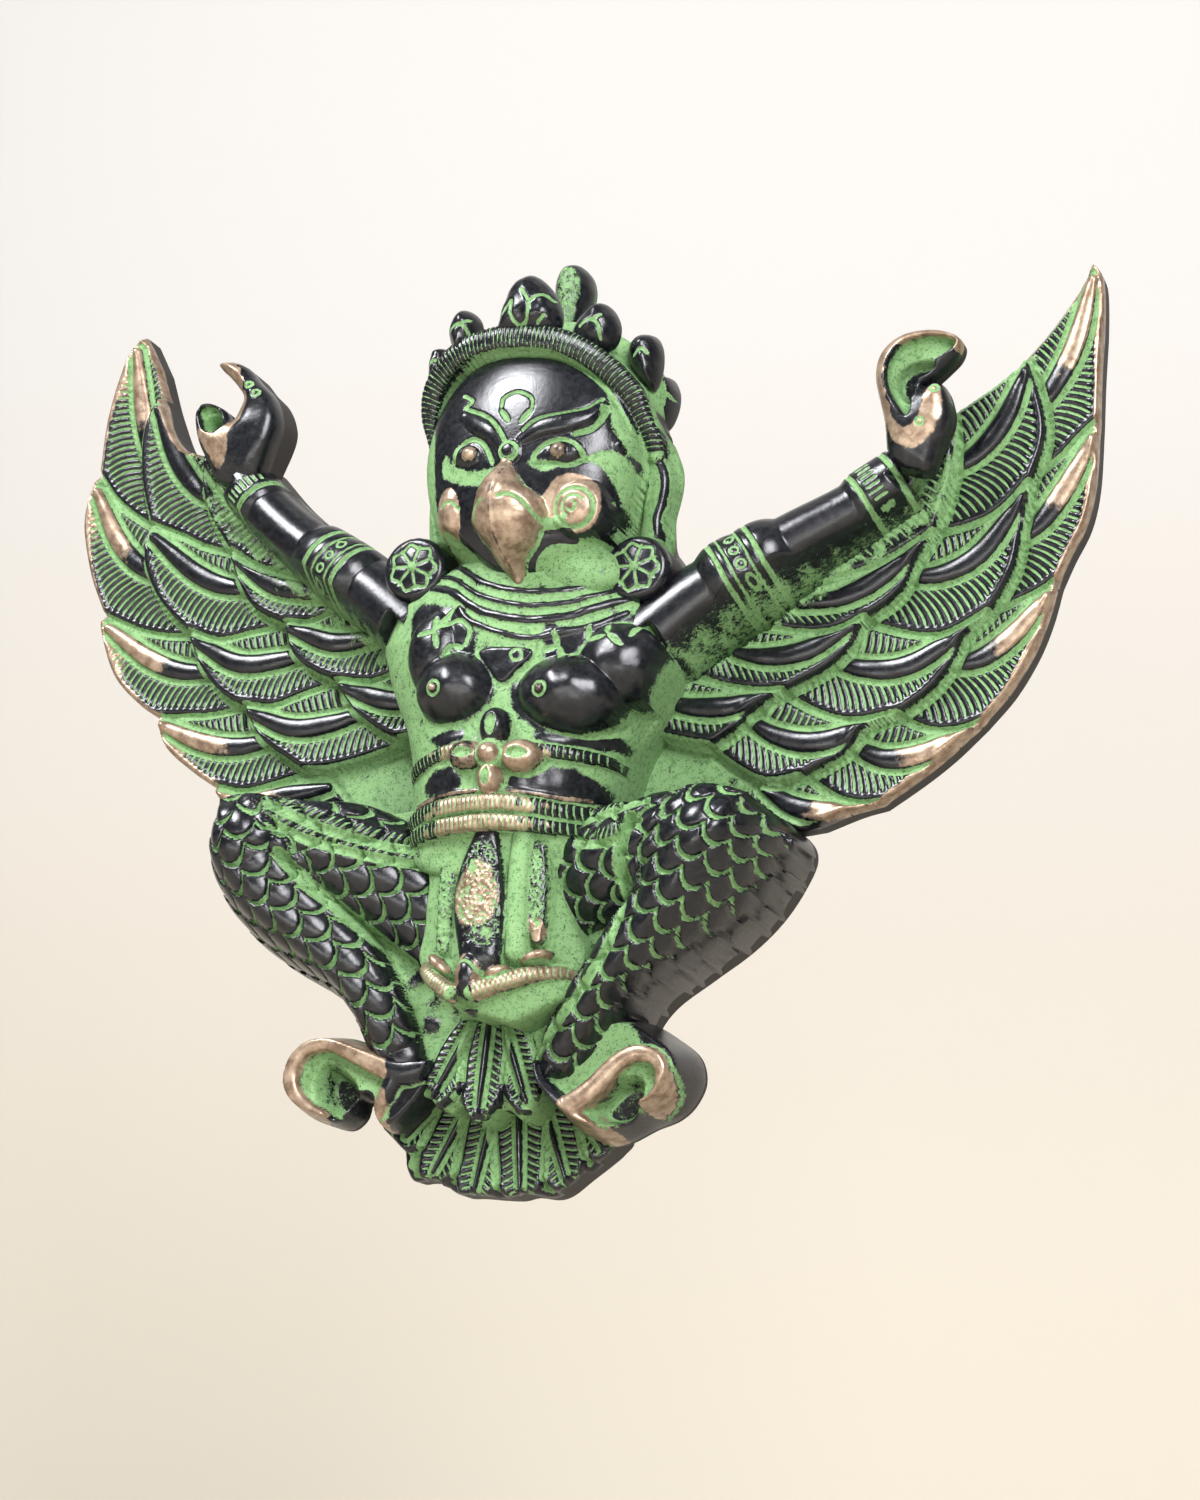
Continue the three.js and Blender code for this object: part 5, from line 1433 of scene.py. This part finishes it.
def aged_brass():
    """Green patina in the recesses, glossy black on what stands out, bare brass where it is worn, and
    painted shade in rough dark brown on the walls and the back.
    """
    material = bpy.data.materials.new("aged_brass")
    material.use_nodes = True
    nodes, links = material.node_tree.nodes, material.node_tree.links
    nodes.clear()
    output = nodes.new("ShaderNodeOutputMaterial")
    shader = nodes.new("ShaderNodeBsdfPrincipled")
    links.new(shader.outputs["BSDF"], output.inputs["Surface"])
    place = nodes.new("ShaderNodeTexCoord").outputs["Object"]

    def attribute(name):
        node = nodes.new("ShaderNodeAttribute")
        node.attribute_name = name
        return node.outputs["Fac"]

    def noise(scale, detail=4.0, rough=0.6):
        node = nodes.new("ShaderNodeTexNoise")
        node.inputs["Scale"].default_value = scale
        node.inputs["Detail"].default_value = detail
        node.inputs["Roughness"].default_value = rough
        links.new(place, node.inputs["Vector"])
        return node.outputs["Fac"]

    def ramp(value, low, high):
        node = nodes.new("ShaderNodeMapRange")
        node.interpolation_type = "SMOOTHSTEP"
        node.inputs["From Min"].default_value = low
        node.inputs["From Max"].default_value = high
        links.new(value, node.inputs["Value"])
        return node.outputs["Result"]

    def math_node(kind, a, b):
        node = nodes.new("ShaderNodeMath")
        node.operation = kind
        for socket, value in zip(node.inputs, (a, b)):
            if isinstance(value, float):
                socket.default_value = value
            else:
                links.new(value, socket)
        return node.outputs[0]

    def mix_colour(share, a, b):
        node = nodes.new("ShaderNodeMix")
        node.data_type = "RGBA"
        links.new(share, node.inputs["Factor"])
        for socket, value in zip(node.inputs[6:8], (a, b)):
            if isinstance(value, tuple):
                socket.default_value = (*value, 1)
            else:
                links.new(value, socket)
        return node.outputs[2]

    def mix_number(share, a, b):
        node = nodes.new("ShaderNodeMix")
        links.new(share, node.inputs["Factor"])
        for socket, value in zip(node.inputs[2:4], (a, b)):
            if isinstance(value, float):
                socket.default_value = value
            else:
                links.new(value, socket)
        return node.outputs[0]

    def around_zero(value, reach):
        return math_node("MULTIPLY", math_node("SUBTRACT", value, 0.5), reach)

    speckle = noise(2600.0)
    cloud = noise(150.0, 3.0)
    grain = noise(900.0, 5.0, 0.7)
    smudge = noise(420.0, 3.0, 0.65)
    mottle = noise(800.0, 6.0, 0.75)
    uneven = math_node("ADD", around_zero(speckle, 0.6), around_zero(mottle, 0.9))
    wave = math_node("COSINE", math_node("MULTIPLY", attribute("phase"), 2 * math.pi), 0.0)
    barb_wave = math_node("MULTIPLY", wave, attribute("barb"))
    cut = math_node("ADD", barb_wave, math_node("MULTIPLY", uneven, 0.8))
    deep = math_node("MAXIMUM", attribute("green"), ramp(cut, 0.28, 0.62))
    patina = ramp(math_node("ADD", deep, uneven), 0.38, 0.6)
    worn = ramp(math_node("ADD", attribute("brass"), around_zero(smudge, 0.9)), 0.3, 0.62)
    green = mix_colour(cloud, *GREEN)
    green = mix_colour(ramp(grain, 0.36, 0.5), GREEN_GRAIN, green)
    green = mix_colour(ramp(speckle, 0.34, 0.42), GREEN_SPECKLE, green)
    black = mix_colour(ramp(mottle, 0.35, 0.7), *BLACK)
    brass = mix_colour(ramp(smudge, 0.3, 0.7), *BRASS)
    colour = mix_colour(patina, mix_colour(worn, black, brass), green)
    # Painted shade: walls and backs turn a rough dark brown, without patina or brass.
    side_shade = attribute("side_shade")
    side = math_node("MULTIPLY", side_shade, ramp(math_node("ADD", side_shade, uneven), 0.4, 0.7))
    colour = mix_colour(side, colour, mix_colour(cloud, *SIDE_SHADE_COLOURS))
    links.new(colour, shader.inputs["Base Color"])
    bare = math_node("SUBTRACT", 1.0, math_node("MAXIMUM", patina, side))
    links.new(math_node("MULTIPLY", worn, math_node("MULTIPLY", bare, 0.6)), shader.inputs["Metallic"])
    gloss = math_node("ADD", mix_number(worn, 0.24, 0.34), around_zero(cloud, 0.14))
    rough = mix_number(patina, gloss, 0.8)
    links.new(mix_number(side, rough, 0.62), shader.inputs["Roughness"])
    shader.inputs["Specular IOR Level"].default_value = 0.5
    bump = nodes.new("ShaderNodeBump")
    bump.inputs["Strength"].default_value = 0.3
    bump.inputs["Distance"].default_value = 0.0002
    links.new(grain, bump.inputs["Height"])
    links.new(bump.outputs["Normal"], shader.inputs["Normal"])
    return material


# The plaque, the studio and the camera

def build():
    material = aged_brass()
    piece("wing_right", [wing(RIGHT_WING, 1)], material)
    piece("wing_left", [wing(LEFT_WING, -1)], material)
    piece("leg_right", [leg(1), foot(1)], material)
    piece("leg_left", [leg(-1), foot(-1)], material)
    piece("lap_and_tail", [lap(), *tail()], material)
    arms = [arm(1), arm(-1), hand(1), hand(-1)]
    piece("torso_and_arms", [torso(), loincloth(), *arms], material)
    earrings = [earring(middle) for middle in EARRINGS]
    piece("head", [head(), *crown_leaves(), *earrings], material)


# The paper's colour at the bottom and at the top: painted light, lighter upwards
PAPER_SHADED = (0.50, 0.456, 0.376, 1)
PAPER_LIT = (0.49, 0.475, 0.45, 1)
PAPER_ABOVE = 0.22         # the paper has its painted lit colour from this far above the plaque, in metres


def paper():
    """Pale paper whose colour gets a little lighter and less warm upwards: painted light from above."""
    material = bpy.data.materials.new("paper")
    material.use_nodes = True
    nodes, links = material.node_tree.nodes, material.node_tree.links
    shader = nodes["Principled BSDF"]
    shader.inputs["Roughness"].default_value = 0.95
    shader.inputs["Specular IOR Level"].default_value = 0.1
    place = nodes.new("ShaderNodeTexCoord")
    parts = nodes.new("ShaderNodeSeparateXYZ")
    height = nodes.new("ShaderNodeMapRange")
    mix = nodes.new("ShaderNodeMix")
    mix.data_type = "RGBA"
    height.inputs["From Min"].default_value = CAD_LOW.z
    height.inputs["From Max"].default_value = CAD_HIGH.z + PAPER_ABOVE
    mix.inputs[6].default_value = PAPER_SHADED
    mix.inputs[7].default_value = PAPER_LIT
    links.new(place.outputs["Object"], parts.inputs["Vector"])
    links.new(parts.outputs["Z"], height.inputs["Value"])
    links.new(height.outputs["Result"], mix.inputs["Factor"])
    links.new(mix.outputs[2], shader.inputs["Base Color"])
    return material


def studio():
    """A pale floor that curves up into a backdrop, behind and below the plaque."""
    floor_z = CAD_LOW.z - 0.16
    wall_y = CAD_HIGH.y + 0.5
    radius = 0.3
    reach = 3.0            # how far floor and backdrop go on, in metres
    profile = [(-reach, floor_z), (wall_y - radius, floor_z)]
    for turn in np.linspace(0, math.pi / 2, 13)[1:]:
        y = wall_y - radius + radius * math.sin(turn)
        profile.append((y, floor_z + radius * (1 - math.cos(turn))))
    profile.append((wall_y, reach))
    points = [(x, y, z) for y, z in profile for x in (-reach, reach)]
    faces = [(2 * i, 2 * i + 1, 2 * i + 3, 2 * i + 2) for i in range(len(profile) - 1)]
    mesh = bpy.data.meshes.new("backdrop")
    mesh.from_pydata(points, [], faces)
    mesh.shade_smooth()
    mesh.materials.append(paper())
    backdrop = bpy.data.objects.new("backdrop", mesh)
    bpy.context.scene.collection.objects.link(backdrop)


def light(name, spot, size, power, target, colour=(1, 1, 1)):
    """A rectangular lamp at a spot, turned to its target."""
    lamp = bpy.data.lights.new(name, "AREA")
    lamp.shape = "RECTANGLE"
    lamp.size, lamp.size_y = size
    lamp.energy = power
    lamp.color = colour
    holder = bpy.data.objects.new(name, lamp)
    holder.location = spot
    holder.rotation_euler = (Vector(target) - Vector(spot)).to_track_quat("-Z", "Y").to_euler()
    bpy.context.scene.collection.objects.link(holder)


def lights():
    middle = (CAD_LOW + CAD_HIGH) / 2
    light("key", (-0.5, -0.75, 0.75), (0.40, 0.40), 23, middle, (0.95, 0.96, 1.0))
    light("fill", (0.6, -0.9, 0.35), (0.4, 0.6), 17.5, middle, (0.95, 0.95, 1.0))
    light("low", (0.1, -0.9, -0.35), (0.9, 0.3), 10, middle)
    light("behind", (0, CAD_HIGH.y + 0.1, 0.8), (1.6, 0.3), 0.9, (0, CAD_HIGH.y + 0.5, 0.1))
    world = bpy.data.worlds.new("studio")
    bpy.context.scene.world = world
    world.use_nodes = True
    sky = world.node_tree.nodes["Background"]
    sky.inputs["Color"].default_value = (1.0, 0.97, 0.92, 1)
    sky.inputs["Strength"].default_value = 0.2


def camera():
    """The camera stands to the right of the plaque and below it, turned a little."""
    turn, lift, roll = math.radians(20.9), math.radians(-13.6), math.radians(5.3)
    distance = 0.6
    aside, up_by = 0.0087, 0.010
    focal_pixels, photo_height = 2984, 1500
    sensor = 36
    buckle = Vector((0, 0, CAD_HIGH.z - DRAWN_TOP / 1000))
    back = Vector((math.sin(turn) * math.cos(lift), -math.cos(turn) * math.cos(lift), math.sin(lift)))
    right = Vector((math.cos(turn), math.sin(turn), 0))
    up = back.cross(right)
    across = right * math.cos(roll) + up * math.sin(roll)
    upright = up * math.cos(roll) - right * math.sin(roll)
    data = bpy.data.cameras.new("camera")
    data.sensor_width = sensor
    data.lens = focal_pixels / photo_height * sensor
    holder = bpy.data.objects.new("camera", data)
    facing = Matrix((across, upright, back)).transposed().to_4x4()
    spot = buckle + right * aside + up * up_by + back * distance
    holder.matrix_world = Matrix.Translation(spot) @ facing
    bpy.context.scene.collection.objects.link(holder)
    bpy.context.scene.camera = holder


build()
studio()
lights()
camera()
bpy.context.scene.view_settings.view_transform = "Standard"
